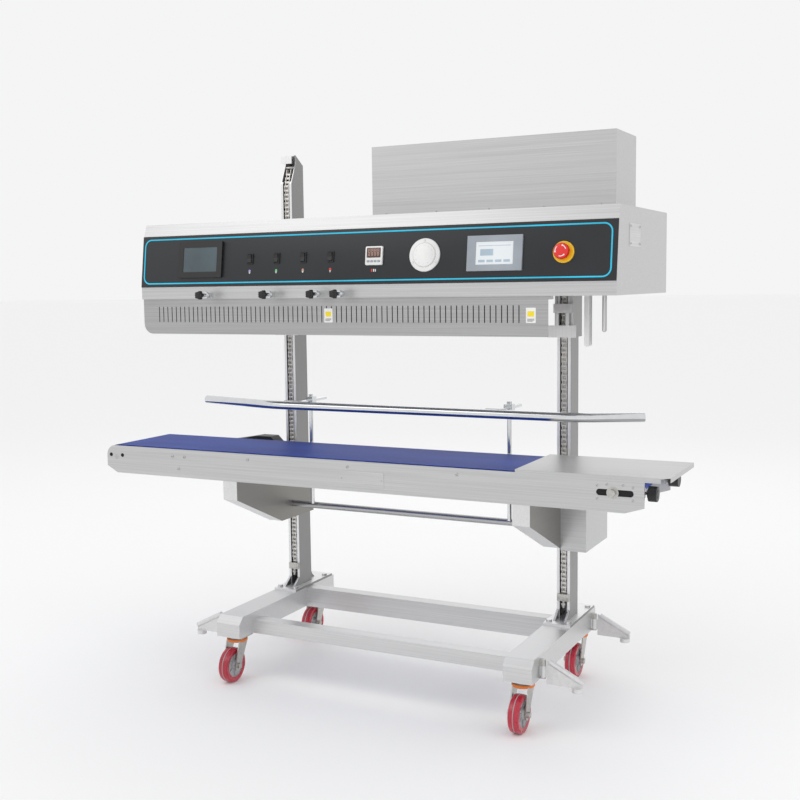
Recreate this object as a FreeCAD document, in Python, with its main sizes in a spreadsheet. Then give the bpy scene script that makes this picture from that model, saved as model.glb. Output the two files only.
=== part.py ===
import FreeCAD, Part
import math
import os
import Sketcher

V = FreeCAD.Vector
doc = FreeCAD.newDocument("band_sealer")
sheet = doc.addObject("Spreadsheet::Sheet", "Dims")

# ---------------------------------------------------------------- dimensions
# millimetres; X along the conveyor, Y to the back, Z up, origin on the floor
TABLE = [
    ("left_x", -403.1), ("right_x", 480.1),
    ("beam_w", 78.0), ("beam_front_y", -237.6), ("beam_rear_y", 311.0), ("beam_low_z", 134.0),
    ("beam_high", 60.0), ("beam_bevel", 20.0), ("tube_wall", 3.0), ("drain_rad", 4.0),
    ("rail_deep", 40.0), ("front_rail_y", -168.3), ("front_rail_high", 40.0), ("rear_rail_y", 137.7),
    ("col_half", 19.0), ("col_front_y", 132.4), ("col_rear_y", 203.0), ("col_wall", 3.0),
    ("col_lip", 8.0), ("col_lip_top_z", 1452.0), ("col_top_z", 1508.0), ("col_step_z", 1514.0),
    ("col_apex_z", 1537.0), ("col_apex_y", 160.0), ("cap_thick", 3.0), ("cap_lip", 24.0),
    ("foot_thick", 7.0), ("foot_half", 39.0), ("foot_front_y", 74.0), ("foot_rear_y", 300.0),
    ("gus_thick", 6.0), ("gus_front_run", 35.0), ("gus_front_rise", 26.0),
    ("gus_rear_run", 45.0), ("gus_rear_rise", 36.0),
    ("bolt_rad", 5.0), ("bolt_head_rad", 8.0), ("bolt_head_high", 6.0), ("foot_bolt_x", 28.0),
    ("foot_bolt_front_y", 92.0), ("foot_bolt_rear_y", 270.0),
    ("chain_y", 139.6), ("chain_half", 8.5), ("chain_half_deep", 4.0), ("chain_low_z", 270.0),
    ("chain_top_z", 1448.0), ("chain_end_y", 158.0), ("chain_end_z", 1508.0),
    ("chain_pin_rad", 5.0), ("anchor_low_z", 252.0), ("anchor_high", 20.0), ("anchor_half", 10.0),
    ("anchor_plate_half", 17.0), ("anchor_front_y", 126.0), ("anchor_bolt_rad", 4.0),
    ("anchor_bolt_len", 20.0),
    ("cast_front_y", -193.0), ("cast_rear_y", 266.0), ("cast_plate_half_x", 36.0),
    ("cast_plate_half_y", 30.0), ("cast_plate_thick", 5.0), ("cast_race_rad", 24.0),
    ("cast_race_high", 5.0), ("cast_gap", 0.4), ("cast_crown_rad", 27.0), ("cast_crown_high", 8.0),
    ("wheel_rad", 50.0), ("wheel_half", 16.0), ("wheel_trail", 30.0), ("hub_half", 19.0),
    ("hub_rad", 14.0), ("axle_rad", 5.0), ("run_gap", 0.05), ("fork_in_half", 20.0),
    ("fork_wall", 3.0), ("fork_arm_half", 19.0), ("fork_toe_rad", 15.0),
    ("nut_rad", 8.0), ("nut_high", 7.0),
    ("wing_front_y", -176.0), ("wing_rear_y", 271.0), ("wing_off", 9.0), ("wing_low_z", 122.0),
    ("wing_high_z", 184.0), ("wing_len", 104.0), ("wing_tip_high", 14.0), ("wing_thick", 4.0),
    ("wing_pipe_rad", 7.0), ("wing_pin_rad", 4.0), ("wing_knuckle_rad", 7.0),
    ("wing_pad_rad", 14.0), ("wing_pad_high", 10.0),
    ("conv_left_x", -850.0), ("conv_right_x", 791.5), ("conv_low_z", 587.0),
    ("conv_top_z", 669.5), ("conv_front_y", -211.0), ("conv_rear_y", 59.0), ("side_thick", 3.0),
    ("side_round", 30.0), ("nose_cham_x", 38.0), ("nose_cham_z", 20.0), ("tail_cham_x", 48.0),
    ("tail_cham_z", 15.0), ("side_flange", 16.0), ("side_flange_left_x", -800.0),
    ("side_flange_right_x", 735.0),
    ("slot_mid_x", 720.0), ("slot_half", 38.0), ("slot_rad", 7.0), ("roll_z", 635.0),
    ("nose_x", -813.0), ("tail_x", 714.5), ("roll_rad", 34.2), ("belt_in_rad", 34.5),
    ("belt_thick", 2.0), ("belt_front_y", -204.0), ("belt_rear_y", 52.0), ("roll_inset", 2.0),
    ("roll_pin_rad", 7.5), ("drive_x", -490.0), ("drive_rad", 20.0), ("drive_z", 620.8),
    ("bed_left_x", -760.0), ("bed_right_x", 660.0), ("bed_top_z", 669.0), ("bed_thick", 3.0),
    ("bed_skirt", 20.0), ("bed_tie_z", 641.5), ("bed_tie_half", 15.0), ("bed_tie_high", 18.0),
    ("tray_left_x", 465.5), ("tray_right_x", 850.0), ("tray_top_z", 677.0), ("tray_thick", 1.5),
    ("tray_lip", 12.0), ("tray_corner", 20.0), ("tray_over", 1.0),
    ("arm_half", 23.5), ("arm_wall", 3.0), ("arm_front_y", -208.0), ("arm_front_low_z", 532.0),
    ("arm_low_y", 29.0), ("arm_low_z", 427.0), ("arm_rear_y", 217.0), ("arm_rear_top_z", 520.0),
    ("arm_back_gap", 1.5), ("clamp_low_z", 448.0), ("clamp_high", 44.0),
    ("shaft_y", 99.0), ("shaft_z", 470.0), ("shaft_rad", 10.0), ("shaft_left_x", -440.0),
    ("shaft_right_x", 530.0), ("spr_root_rad", 33.0), ("spr_tip_rad", 35.6), ("spr_half", 3.6),
    ("spr_hub_rad", 22.0), ("spr_hub_half", 14.0),
    ("cover_right_x", 574.5), ("cover_front_y", 35.0), ("cover_rear_y", 236.0),
    ("cover_low_z", 420.0), ("cover_top_z", 556.0), ("cover_wall", 2.0),
    ("motor_left_x", -604.0), ("motor_right_x", -427.5), ("motor_front_y", 79.0),
    ("motor_rear_y", 125.0), ("motor_low_z", 600.0), ("motor_top_z", 677.5),
    ("motor_left_z", 659.5), ("motor_step_x", -537.0), ("motor_step_z", 670.5),
    ("motor_flat_x", -499.0), ("motor_fall_x", -446.5), ("motor_right_z", 659.5),
    ("gear_low_z", 585.0), ("gear_high", 72.0), ("gear_half", 42.0), ("gear_deep", 50.0),
    ("knob_x", 794.0), ("knob_len", 25.0), ("knob_rad", 19.0), ("knob_y", -188.0),
    ("screw_rad", 4.0), ("screw_left_x", 756.0), ("block_left_x", 772.0), ("block_half", 12.0),
    ("block_len", 14.0),
    ("post_left_x", -295.5), ("post_right_x", 342.5), ("post_y", 74.0), ("post_rad", 6.0),
    ("post_low_z", 480.0), ("post_top_z", 788.0), ("post_clamp_low_z", 606.0),
    ("post_clamp_high", 26.0), ("post_clamp_half", 14.0), ("tee_low_z", 784.0),
    ("tee_high", 24.0), ("tee_half", 12.0), ("rod_z", 796.0), ("rod_rad", 5.0),
    ("rod_rear_y", 164.0), ("thumb_rad", 7.0), ("thumb_len", 14.0),
    ("rail_z", 793.0), ("rail_rad", 12.5), ("rail_y", -46.0), ("rail_mid_left_x", -361.0),
    ("rail_mid_right_x", 583.0), ("rail_end_left_x", -641.0), ("rail_end_right_x", 731.0),
    ("rail_end_y", 24.0), ("saddle_half", 27.5), ("saddle_thick", 12.0), ("saddle_half_z", 15.0),
    ("head_left_x", -656.8), ("head_right_x", 733.8), ("head_rear_y", 229.4),
    ("head_low_z", 1109.3), ("head_top_z", 1322.0), ("head_top_y", -227.5),
    ("panel_top_z", 1288.0), ("panel_foot_y", -257.7), ("panel_foot_z", 1143.7),
    ("panel_slope", 0.13028), ("panel_tilt", 7.4225), ("panel_thick", 2.0), ("sheet_wall", 2.0),
    ("cut_half", 30.0), ("cut_front_y", 80.0), ("cut_rear_y", 214.0),
    ("cover_face_y", -251.0), ("cover_low_edge_z", 1010.7), ("cover_right_edge_x", 565.5),
    ("cover_round", 30.0), ("cover_lip", 22.0), ("vent_left_x", -602.5), ("vent_pitch", 14.97),
    ("vent_count", 74), ("vent_wide", 2.6), ("vent_low_z", 1044.5), ("vent_high", 43.0),
    ("box_left_x", -2.5), ("box_right_x", 677.5), ("box_front_y", -65.0), ("box_rear_y", 121.0),
    ("box_top_z", 1516.0),
    ("left_screen_x", -450.0), ("left_screen_z", 1218.0), ("left_screen_w", 147.0),
    ("left_screen_high", 100.0), ("screen_thick", 6.0), ("screen_inset", 1.5),
    ("left_glass_w", 114.0), ("left_glass_high", 69.0),
    ("right_screen_x", 429.8), ("right_screen_z", 1214.5), ("right_screen_w", 143.5),
    ("right_screen_high", 87.0), ("right_glass_w", 98.0), ("right_glass_high", 57.0),
    ("rocker_z", 1217.0), ("rocker_w", 17.0), ("rocker_high", 23.0), ("rocker_out", 6.0),
    ("rocker_bezel", 2.0), ("rocker_pin_rad", 1.2), ("rocker_one_x", -285.5), ("rocker_two_x", -199.9),
    ("rocker_three_x", -116.1), ("rocker_four_x", -32.1),
    ("temp_x", 98.5), ("temp_z", 1216.0), ("temp_side", 48.0), ("temp_thick", 7.0),
    ("gauge_x", 241.5), ("gauge_z", 1214.5), ("gauge_rad", 42.0), ("gauge_in_rad", 30.0),
    ("gauge_thick", 5.0), ("gauge_dome", 3.0), ("gauge_bolt_ring", 36.0), ("gauge_bolt_rad", 2.5),
    ("stop_x", 604.2), ("stop_z", 1212.6), ("stop_ring_rad", 26.0), ("stop_ring_thick", 5.0),
    ("stop_bore_rad", 12.0), ("stop_stem_rad", 11.0), ("stop_stem_len", 16.0),
    ("stop_cap_rad", 19.5), ("stop_cap_low", 12.5), ("stop_cap_len", 14.0), ("stop_lip", 3.0),
    ("press_one_x", -421.5), ("press_two_x", -213.5), ("press_three_x", -66.5),
    ("press_four_x", 4.5), ("press_z", 1120.0), ("press_stem_rad", 5.0), ("press_tip_y", -311.0),
    ("press_knob_rad", 12.0), ("press_knob_len", 20.0), ("press_nut_rad", 8.5),
    ("press_nut_len", 8.0), ("press_gap", 0.4), ("press_lobe_rad", 4.5), ("press_lobe_ring", 8.5),
    ("bag_y", -76.0), ("bag_half", 0.6), ("band_thick", 0.8), ("band_low_z", 1040.0),
    ("band_high", 15.0), ("pulley_rad", 40.0), ("pulley_gap", 0.35), ("pulley_left_x", -560.0),
    ("pulley_right_x", 430.0), ("pulley_pin_rad", 6.0), ("seal_left_x", -615.0),
    ("seal_right_x", 485.0), ("seal_plate_low_z", 1097.0), ("seal_plate_deep", 96.0),
    ("seal_slot_half", 8.0), ("seal_block_low_z", 1034.0), ("seal_block_deep", 20.0),
    ("seal_block_len", 120.0), ("seal_block_one_x", -300.0), ("seal_block_pitch", 160.0),
    ("seal_block_count", 4),
    ("car_half", 26.0), ("car_in_half", 20.0), ("car_front_y", 119.4), ("car_in_front_y", 131.4),
    ("car_in_rear_y", 204.5), ("car_rear_y", 212.0), ("car_low_z", 991.0), ("car_top_z", 1300.0),
    ("car_plate_high", 33.0), ("car_plate_left", 42.6), ("car_plate_right", 38.4),
    ("car_top_plate_high", 30.0), ("car_ear_front_y", 84.0), ("car_ear_low_z", 1150.0),
    ("car_ear_high", 60.0), ("spring_rad", 7.0), ("spring_high", 25.0), ("spring_left", 17.0),
    ("spring_right", 11.4), ("spring_y", 125.4), ("dark_low_z", 1058.0), ("dark_high", 25.0),
    ("head_shaft_z", 1180.0),
    ("guide_left_x", 604.0), ("guide_w", 14.0), ("guide_thick", 3.0),
    ("guide_gap_half", 8.0), ("guide_low_z", 979.0), ("guide_bar_x", 657.0),
    ("guide_bar_y", -90.0),
    ("guide_bar_low_z", 1016.0), ("guide_bar_w", 11.0),
]


class Dim(object):
    """A length that carries its value and the sheet formula that drives it."""

    def __init__(self, val, text):
        self.val = float(val)
        self.text = text

    def __add__(self, other):
        other = as_dim(other)
        return Dim(self.val + other.val, "(%s + %s)" % (self.text, other.text))

    def __sub__(self, other):
        other = as_dim(other)
        return Dim(self.val - other.val, "(%s - %s)" % (self.text, other.text))

    def __mul__(self, other):
        other = as_dim(other)
        return Dim(self.val * other.val, "(%s * %s)" % (self.text, other.text))

    def __truediv__(self, other):
        other = as_dim(other)
        return Dim(self.val / other.val, "(%s / %s)" % (self.text, other.text))

    def __neg__(self):
        return Dim(0, "0") - self

    __radd__ = __add__
    __rmul__ = __mul__


def as_dim(value):
    """Wrap a plain number as a constant formula."""
    return value if isinstance(value, Dim) else Dim(value, "(%s)" % repr(value))


class Names(object):
    """Attribute access to every named dimension."""


D = Names()
for row, (alias, value) in enumerate(TABLE, 1):
    sheet.set("A%d" % row, alias)
    sheet.set("B%d" % row, str(value))
    sheet.setAlias("B%d" % row, alias)
    setattr(D, alias, Dim(value, "Dims." + alias))
doc.recompute()

ZERO = as_dim(0)
AXES = {"x": (V(0, 1, 0), 90), "y": (V(-1, 0, 0), 90), "z": (V(0, 0, 1), 0)}
count = [0]


def fresh(stem):
    """A document name that has not been used."""
    count[0] += 1
    return "%s_%d" % (stem, count[0])


def bind(obj, prop, dim):
    """Drive one property from the sheet."""
    obj.setExpression(prop, as_dim(dim).text)


def place(obj, px, py, pz):
    """Drive an object's position from the sheet."""
    bind(obj, "Placement.Base.x", px)
    bind(obj, "Placement.Base.y", py)
    bind(obj, "Placement.Base.z", pz)
    return obj


def box(px, py, pz, qx, qy, qz):
    """Block between two opposite corners."""
    obj = doc.addObject("Part::Box", fresh("block"))
    bind(obj, "Length", as_dim(qx) - px)
    bind(obj, "Width", as_dim(qy) - py)
    bind(obj, "Height", as_dim(qz) - pz)
    return place(obj, px, py, pz)


def cyl(axis, px, py, pz, rad, length):
    """Cylinder from a point, running along +x, +y or +z."""
    obj = doc.addObject("Part::Cylinder", fresh("round"))
    turn, angle = AXES[axis]
    obj.Placement = FreeCAD.Placement(V(0, 0, 0), FreeCAD.Rotation(turn, angle))
    bind(obj, "Radius", rad)
    bind(obj, "Height", length)
    return place(obj, px, py, pz)


def fuse(shapes):
    """Union of several shapes."""
    if len(shapes) == 1:
        return shapes[0]
    obj = doc.addObject("Part::MultiFuse", fresh("union"))
    obj.Shapes = list(shapes)
    return obj


def cut(base, tools):
    """A shape with others taken away."""
    obj = doc.addObject("Part::Cut", fresh("cut"))
    obj.Base = base
    obj.Tool = fuse(tools)
    return obj


def group(shapes):
    """Several separate solids of one welded or repeated piece."""
    obj = doc.addObject("Part::Compound", fresh("set"))
    obj.Links = list(shapes)
    return obj


def sketch_loop(body, plane, points):
    """Closed outline whose corners are driven from the sheet."""
    sk = body.newObject("Sketcher::SketchObject", fresh("outline"))
    for feat in body.Origin.OriginFeatures:
        if feat.Role == plane + "_Plane":
            sk.AttachmentSupport = (feat, "")
    sk.MapMode = "FlatFace"
    total = len(points)
    flat = [V(a.val, b.val, 0) for a, b in points]
    for k in range(total):
        sk.addGeometry(Part.LineSegment(flat[k], flat[(k + 1) % total]), False)
    for k in range(total):
        sk.addConstraint(Sketcher.Constraint("Coincident", k, 2, (k + 1) % total, 1))
    for k in range(total):
        a, b = points[k]
        for kind, dim in (("DistanceX", a), ("DistanceY", b)):
            index = sk.addConstraint(Sketcher.Constraint(kind, -1, 1, k, 1, dim.val))
            sk.setExpression("Constraints[%d]" % index, dim.text)
    return sk


def prism(plane, points, start, depth):
    """Outline in a principal plane, padded from start by depth along +X, +Y or +Z."""
    body = doc.addObject("PartDesign::Body", fresh("body"))
    sk = sketch_loop(body, plane, [(as_dim(a), as_dim(b)) for a, b in points])
    pad = body.newObject("PartDesign::Pad", fresh("pad"))
    pad.Profile = sk
    bind(pad, "Length", depth)
    body.Tip = pad
    if plane == "XZ":
        place(body, ZERO, as_dim(start) + depth, ZERO)
    if plane == "YZ":
        place(body, start, ZERO, ZERO)
    if plane == "XY":
        place(body, ZERO, ZERO, start)
    return body


def corner(cx, cy, rad, first, last, steps):
    """Corner rounding as short chords, angles in degrees."""
    out = []
    for k in range(steps + 1):
        ang = math.radians(first + (last - first) * k / float(steps))
        out.append((cx + rad * round(math.cos(ang), 6), cy + rad * round(math.sin(ang), 6)))
    return out


def loop_prism(axis, ax, bx, mid_a, mid_b, rad, start, length):
    """Stadium-shaped bar: two cylinders and the block between them."""
    if axis == "y":
        ends = [cyl("y", ax, start, mid_b, rad, length), cyl("y", bx, start, mid_b, rad, length)]
        mid = box(ax, start, mid_b - rad, bx, start + length, mid_b + rad)
    else:
        ends = [cyl("z", ax, mid_a, start, rad, length), cyl("z", bx, mid_a, start, rad, length)]
        mid = box(ax, mid_a - rad, start, bx, mid_a + rad, start + length)
    return fuse(ends + [mid])


def on_panel(obj, px, pz):
    """Lean a piece built against a vertical plane back onto the sloping panel face."""
    obj.Placement = FreeCAD.Placement(V(0, 0, 0), FreeCAD.Rotation(V(-1, 0, 0), D.panel_tilt.val))
    face_y = D.panel_foot_y + (pz - D.panel_foot_z) * D.panel_slope - D.panel_thick
    return place(obj, px, face_y, pz)


nodes = {}


def finish(node, obj):
    """Name a finished sub-part."""
    obj.Label = node
    nodes[node] = obj
    return obj


SIDES = (("left", D.left_x, -1), ("right", D.right_x, 1))

# ---------------------------------------------------------------- base frame
outer = []
inner = []
for side, cx, sgn in SIDES:
    top = D.beam_low_z + D.beam_high
    low = D.beam_low_z
    outline = [(D.beam_front_y, low), (D.beam_rear_y, low), (D.beam_rear_y, top)]
    outline += [(D.beam_front_y + D.beam_bevel, top), (D.beam_front_y, top - D.beam_bevel)]
    outer.append(prism("YZ", outline, cx - D.beam_w / 2, D.beam_w))
    wall = D.tube_wall
    front = D.beam_front_y + D.beam_bevel + wall
    inner.append(box(cx - D.beam_w / 2 + wall, front, low + wall,
                     cx + D.beam_w / 2 - wall, D.beam_rear_y - wall, top - wall))
    inner.append(cyl("z", cx - D.beam_w / 4, D.shaft_y, low - wall, D.drain_rad, wall * 3))
for ry, rise in ((D.front_rail_y, D.front_rail_high), (D.rear_rail_y, D.beam_high)):
    xa = D.left_x + D.beam_w / 2 - D.tube_wall / 2
    xb = D.right_x - D.beam_w / 2 + D.tube_wall / 2
    outer.append(box(xa, ry, D.beam_low_z, xb, ry + D.rail_deep, D.beam_low_z + rise))
    wall = D.tube_wall
    inner.append(box(xa - D.beam_w / 4, ry + wall, D.beam_low_z + wall,
                     xb + D.beam_w / 4, ry + D.rail_deep - wall, D.beam_low_z + rise - wall))
finish("base_frame", cut(fuse(outer), inner))

# ---------------------------------------------------------------- lift columns
cols = []
foot_z = D.beam_low_z + D.beam_high
col_low = foot_z + D.foot_thick
for side, cx, sgn in SIDES:
    web = [(D.col_front_y, col_low), (D.col_rear_y, col_low), (D.col_rear_y, D.col_top_z)]
    web += [(D.col_apex_y, D.col_apex_z), (D.col_apex_y, D.col_step_z)]
    web += [(D.col_front_y, D.col_lip_top_z)]
    solid = prism("YZ", web, cx - D.col_half, D.col_half * 2)
    hollow = box(cx - D.col_half + D.col_wall, D.col_front_y + D.col_wall, col_low - 1,
                 cx + D.col_half - D.col_wall, D.col_rear_y - D.col_wall, D.col_apex_z + 1)
    slot = box(cx - D.col_half + D.col_lip, D.col_front_y - 1, col_low - 1,
               cx + D.col_half - D.col_lip, D.col_front_y + D.col_wall + 1, D.col_apex_z + 1)
    channel = cut(solid, [hollow, slot])
    foot = box(cx - D.foot_half, D.foot_front_y, foot_z, cx + D.foot_half, D.foot_rear_y, col_low)
    pieces = [channel, foot]
    rear = [(D.col_rear_y, col_low), (D.col_rear_y + D.gus_rear_run, col_low)]
    rear += [(D.col_rear_y, col_low + D.gus_rear_rise)]
    pieces.append(prism("YZ", rear, cx - D.gus_thick / 2, D.gus_thick))
    for off in (-1, 1):
        gx = cx + off * (D.col_half - D.gus_thick / 2) - D.gus_thick / 2
        tri = [(D.col_front_y - D.gus_front_run, col_low), (D.col_front_y, col_low)]
        tri += [(D.col_front_y, col_low + D.gus_front_rise)]
        pieces.append(prism("YZ", tri, gx, D.gus_thick))
    lip_y = D.col_apex_y - D.cap_lip
    lid = [(lip_y + D.cap_thick, D.col_apex_z - D.cap_lip), (lip_y + D.cap_thick,
           D.col_apex_z - D.cap_thick * 2), (D.col_apex_y, D.col_apex_z)]
    lid += [(D.col_rear_y, D.col_top_z), (D.col_rear_y, D.col_top_z + D.cap_thick)]
    lid += [(D.col_apex_y, D.col_apex_z + D.cap_thick), (lip_y, D.col_apex_z - D.cap_thick)]
    lid += [(lip_y, D.col_apex_z - D.cap_lip)]
    pieces.append(prism("YZ", lid, cx - D.col_half, D.col_half * 2))
    body = fuse(pieces)
    holes = []
    for bx in (-1, 1):
        for by in (D.foot_bolt_front_y, D.foot_bolt_rear_y):
            holes.append(cyl("z", cx + bx * D.foot_bolt_x, by, foot_z - 1, D.bolt_rad,
                             D.foot_thick + 2))
    cols.append(cut(body, holes))

bolts = []
for side, cx, sgn in SIDES:
    for bx in (-1, 1):
        for by in (D.foot_bolt_front_y, D.foot_bolt_rear_y):
            px = cx + bx * D.foot_bolt_x
            head = cyl("z", px, by, col_low, D.bolt_head_rad, D.bolt_head_high)
            shank = cyl("z", px, by, foot_z + D.cast_gap, D.bolt_rad - D.cast_gap, D.foot_thick)
            bolts.append(fuse([head, shank]))
finish("lift_columns", group(cols + bolts))

# ---------------------------------------------------------------- lift chains
chains = []
for side, cx, sgn in SIDES:
    strand = box(cx - D.chain_half, D.chain_y - D.chain_half_deep, D.chain_low_z,
                 cx + D.chain_half, D.chain_y + D.chain_half_deep, D.chain_top_z)
    top = D.anchor_low_z + D.anchor_high
    block = box(cx - D.anchor_half, D.anchor_front_y, D.anchor_low_z,
                cx + D.anchor_half, D.chain_y + D.chain_half_deep, top)
    plate = box(cx - D.anchor_plate_half, D.anchor_front_y, D.anchor_low_z,
                cx + D.anchor_plate_half, D.col_front_y, top)
    bolt = cyl("z", cx, (D.anchor_front_y + D.chain_y) / 2, D.anchor_low_z - D.anchor_bolt_len,
               D.anchor_bolt_rad, D.anchor_bolt_len + 1)
    lean = [(D.chain_y - D.chain_half_deep, D.chain_top_z - 1), (D.chain_y + D.chain_half_deep,
            D.chain_top_z - 1), (D.chain_end_y + D.chain_half_deep, D.chain_end_z)]
    lean += [(D.chain_end_y - D.chain_half_deep, D.chain_end_z)]
    high = prism("YZ", lean, cx - D.chain_half, D.chain_half * 2)
    span = D.col_half - D.col_wall
    pin = cyl("x", cx - span, D.chain_end_y + D.chain_pin_rad, D.chain_end_z - D.chain_pin_rad,
              D.chain_pin_rad, span * 2)
    chains.append(fuse([strand, block, plate, bolt, high, pin]))
finish("lift_chains", group(chains))

# ---------------------------------------------------------------- casters and stabilisers
mounts = []
hinges = []
for side, cx, sgn in SIDES:
    for row_name, cy in (("front", D.cast_front_y), ("rear", D.cast_rear_y)):
        top = D.beam_low_z
        plate = box(cx - D.cast_plate_half_x, cy - D.cast_plate_half_y, top - D.cast_plate_thick,
                    cx + D.cast_plate_half_x, cy + D.cast_plate_half_y, top)
        race_z = top - D.cast_plate_thick - D.cast_race_high
        race = cyl("z", cx, cy, race_z, D.cast_race_rad, D.cast_race_high + 1)
        mounts.append(fuse([plate, race]))
        crown_top = race_z - D.cast_gap
        crown_low = crown_top - D.cast_crown_high
        crown = cyl("z", cx, cy, crown_low, D.cast_crown_rad, D.cast_crown_high)
        ay = cy - D.wheel_trail
        arms = []
        for off in (-1, 1):
            x0 = cx + off * (D.fork_in_half + D.fork_wall / 2) - D.fork_wall / 2
            shape = [(cy - D.cast_crown_rad * 0.8, crown_low + 2)]
            shape += [(ay - D.fork_toe_rad, D.wheel_rad), (ay - D.fork_toe_rad * 0.7,
                      D.wheel_rad - D.fork_toe_rad * 0.7), (ay, D.wheel_rad - D.fork_toe_rad)]
            shape += [(ay + D.fork_toe_rad * 0.7, D.wheel_rad - D.fork_toe_rad * 0.7)]
            shape += [(ay + D.fork_toe_rad, D.wheel_rad), (cy + D.cast_crown_rad * 0.8,
                      crown_low + 2)]
            arms.append(prism("YZ", shape, x0, D.fork_wall))
        reach = D.fork_in_half + D.fork_wall
        axle = cyl("x", cx - reach - D.nut_high, ay, D.wheel_rad, D.axle_rad,
                   (reach + D.nut_high) * 2)
        nut_a = cyl("x", cx - reach - D.nut_high, ay, D.wheel_rad, D.nut_rad, D.nut_high)
        nut_b = cyl("x", cx + reach, ay, D.wheel_rad, D.nut_rad, D.nut_high)
        bridge = box(cx - reach, cy - D.cast_crown_rad * 0.8, crown_low,
                     cx + reach, cy + D.cast_crown_rad * 0.8, crown_low + 3)
        tag = side + "_" + row_name
        finish("caster_fork_" + tag, fuse([crown, bridge] + arms + [axle, nut_a, nut_b]))
        tread = cyl("x", cx - D.wheel_half, ay, D.wheel_rad, D.wheel_rad, D.wheel_half * 2)
        hub = cyl("x", cx - D.hub_half, ay, D.wheel_rad, D.hub_rad, D.hub_half * 2)
        bore = cyl("x", cx - D.hub_half - 1, ay, D.wheel_rad, D.axle_rad + D.run_gap,
                   D.hub_half * 2 + 2)
        finish("caster_wheel_" + tag, cut(fuse([tread, hub]), [bore]))
    for row_name, cy in (("front", D.wing_front_y), ("rear", D.wing_rear_y)):
        face = cx + sgn * D.beam_w / 2
        hx = face + sgn * D.wing_off
        mid_a = D.wing_low_z + (D.wing_high_z - D.wing_low_z) * 0.25
        mid_b = D.wing_low_z + (D.wing_high_z - D.wing_low_z) * 0.75
        pin = cyl("z", hx, cy, mid_a + D.cast_gap, D.wing_pin_rad, mid_b - mid_a - D.cast_gap * 2)
        ends = []
        for za, zb in ((D.wing_low_z + D.beam_low_z * 0.1, mid_a), (mid_b, D.wing_high_z)):
            ends.append(cyl("z", hx, cy, za, D.wing_knuckle_rad, zb - za))
            xa = face if sgn > 0 else hx
            xb = hx if sgn > 0 else face
            ends.append(box(xa, cy - D.wing_knuckle_rad, za, xb, cy + D.wing_knuckle_rad, zb))
        hinges.append(fuse(ends + [cyl("z", hx, cy, mid_a - 1, D.wing_pin_rad, mid_b - mid_a + 2)]))
        tube = cyl("z", hx, cy, mid_a + D.cast_gap, D.wing_knuckle_rad,
                   mid_b - mid_a - D.cast_gap * 2)
        hole = cyl("z", hx, cy, mid_a - 1, D.wing_pin_rad + D.run_gap, mid_b - mid_a + 2)
        x_in = hx + sgn * D.wing_knuckle_rad * 0.5
        x_off = hx + sgn * (D.wing_knuckle_rad + 3)
        x_tip = hx + sgn * D.wing_len
        low = D.wing_low_z
        web = [(x_in, mid_a + 1), (x_off, mid_a + 1), (x_off, low), (x_tip, low)]
        web += [(x_tip, low + D.wing_tip_high), (x_off, D.wing_high_z), (x_off, mid_b - 1)]
        web += [(x_in, mid_b - 1)]
        if sgn < 0:
            web.reverse()
        plate = prism("XZ", web, cy - D.wing_thick / 2, D.wing_thick)
        run = x_tip - x_off
        fall = low + D.wing_tip_high - D.wing_high_z
        slant = math.degrees(math.atan2(abs(run.val), fall.val))
        size = math.hypot(run.val, fall.val)
        pipe = doc.addObject("Part::Cylinder", fresh("pipe"))
        pipe.Placement = FreeCAD.Placement(V(0, 0, 0), FreeCAD.Rotation(V(0, sgn, 0), slant))
        bind(pipe, "Radius", D.wing_pipe_rad)
        bind(pipe, "Height", D.wing_len * round(size * 0.92 / D.wing_len.val, 4))
        place(pipe, x_off + run * 0.08, cy, D.wing_high_z + fall * 0.08)
        pad = cyl("z", x_tip - sgn * D.wing_pad_rad, cy, low - D.wing_pad_high, D.wing_pad_rad,
                  D.wing_pad_high + 1)
        tag = side + "_" + row_name
        finish("stabilizer_" + tag, cut(fuse([tube, plate, pipe, pad]), [hole]))
finish("base_brackets", group(mounts + hinges))

# ---------------------------------------------------------------- conveyor
def side_outline():
    """Side plate outline in the XZ plane."""
    xa = D.conv_left_x
    xb = D.conv_right_x
    za = D.conv_low_z
    zb = D.conv_top_z
    pts = [(xa + D.nose_cham_x, za), (xb - D.tail_cham_x, za), (xb, za + D.tail_cham_z), (xb, zb)]
    pts += corner(xa + D.side_round, zb - D.side_round, D.side_round, 90, 180, 6)
    pts += [(xa, za + D.nose_cham_z)]
    return pts


for tag, y0, inside in (("front", D.conv_front_y, 1), ("rear", D.conv_rear_y - D.side_thick, -1)):
    face = prism("XZ", side_outline(), y0, D.side_thick)
    ya = y0 if inside > 0 else y0 + D.side_thick - D.side_flange
    flange = box(D.side_flange_left_x, ya, D.conv_low_z, D.side_flange_right_x,
                 ya + D.side_flange, D.conv_low_z + D.side_thick)
    tools = [loop_prism("y", D.slot_mid_x - D.slot_half, D.slot_mid_x + D.slot_half, None,
                        D.roll_z, D.slot_rad + 1, y0 - 1, D.side_thick + 2)]
    tools.append(cyl("y", D.nose_x, y0 - 1, D.roll_z, D.roll_pin_rad + D.run_gap,
                     D.side_thick + 2))
    if inside < 0:
        tools.append(cyl("y", D.drive_x, y0 - 1, D.drive_z, D.roll_pin_rad + D.run_gap,
                         D.side_thick + 2))
    finish(tag + "_side_plate", cut(fuse([face, flange]), tools))

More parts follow.
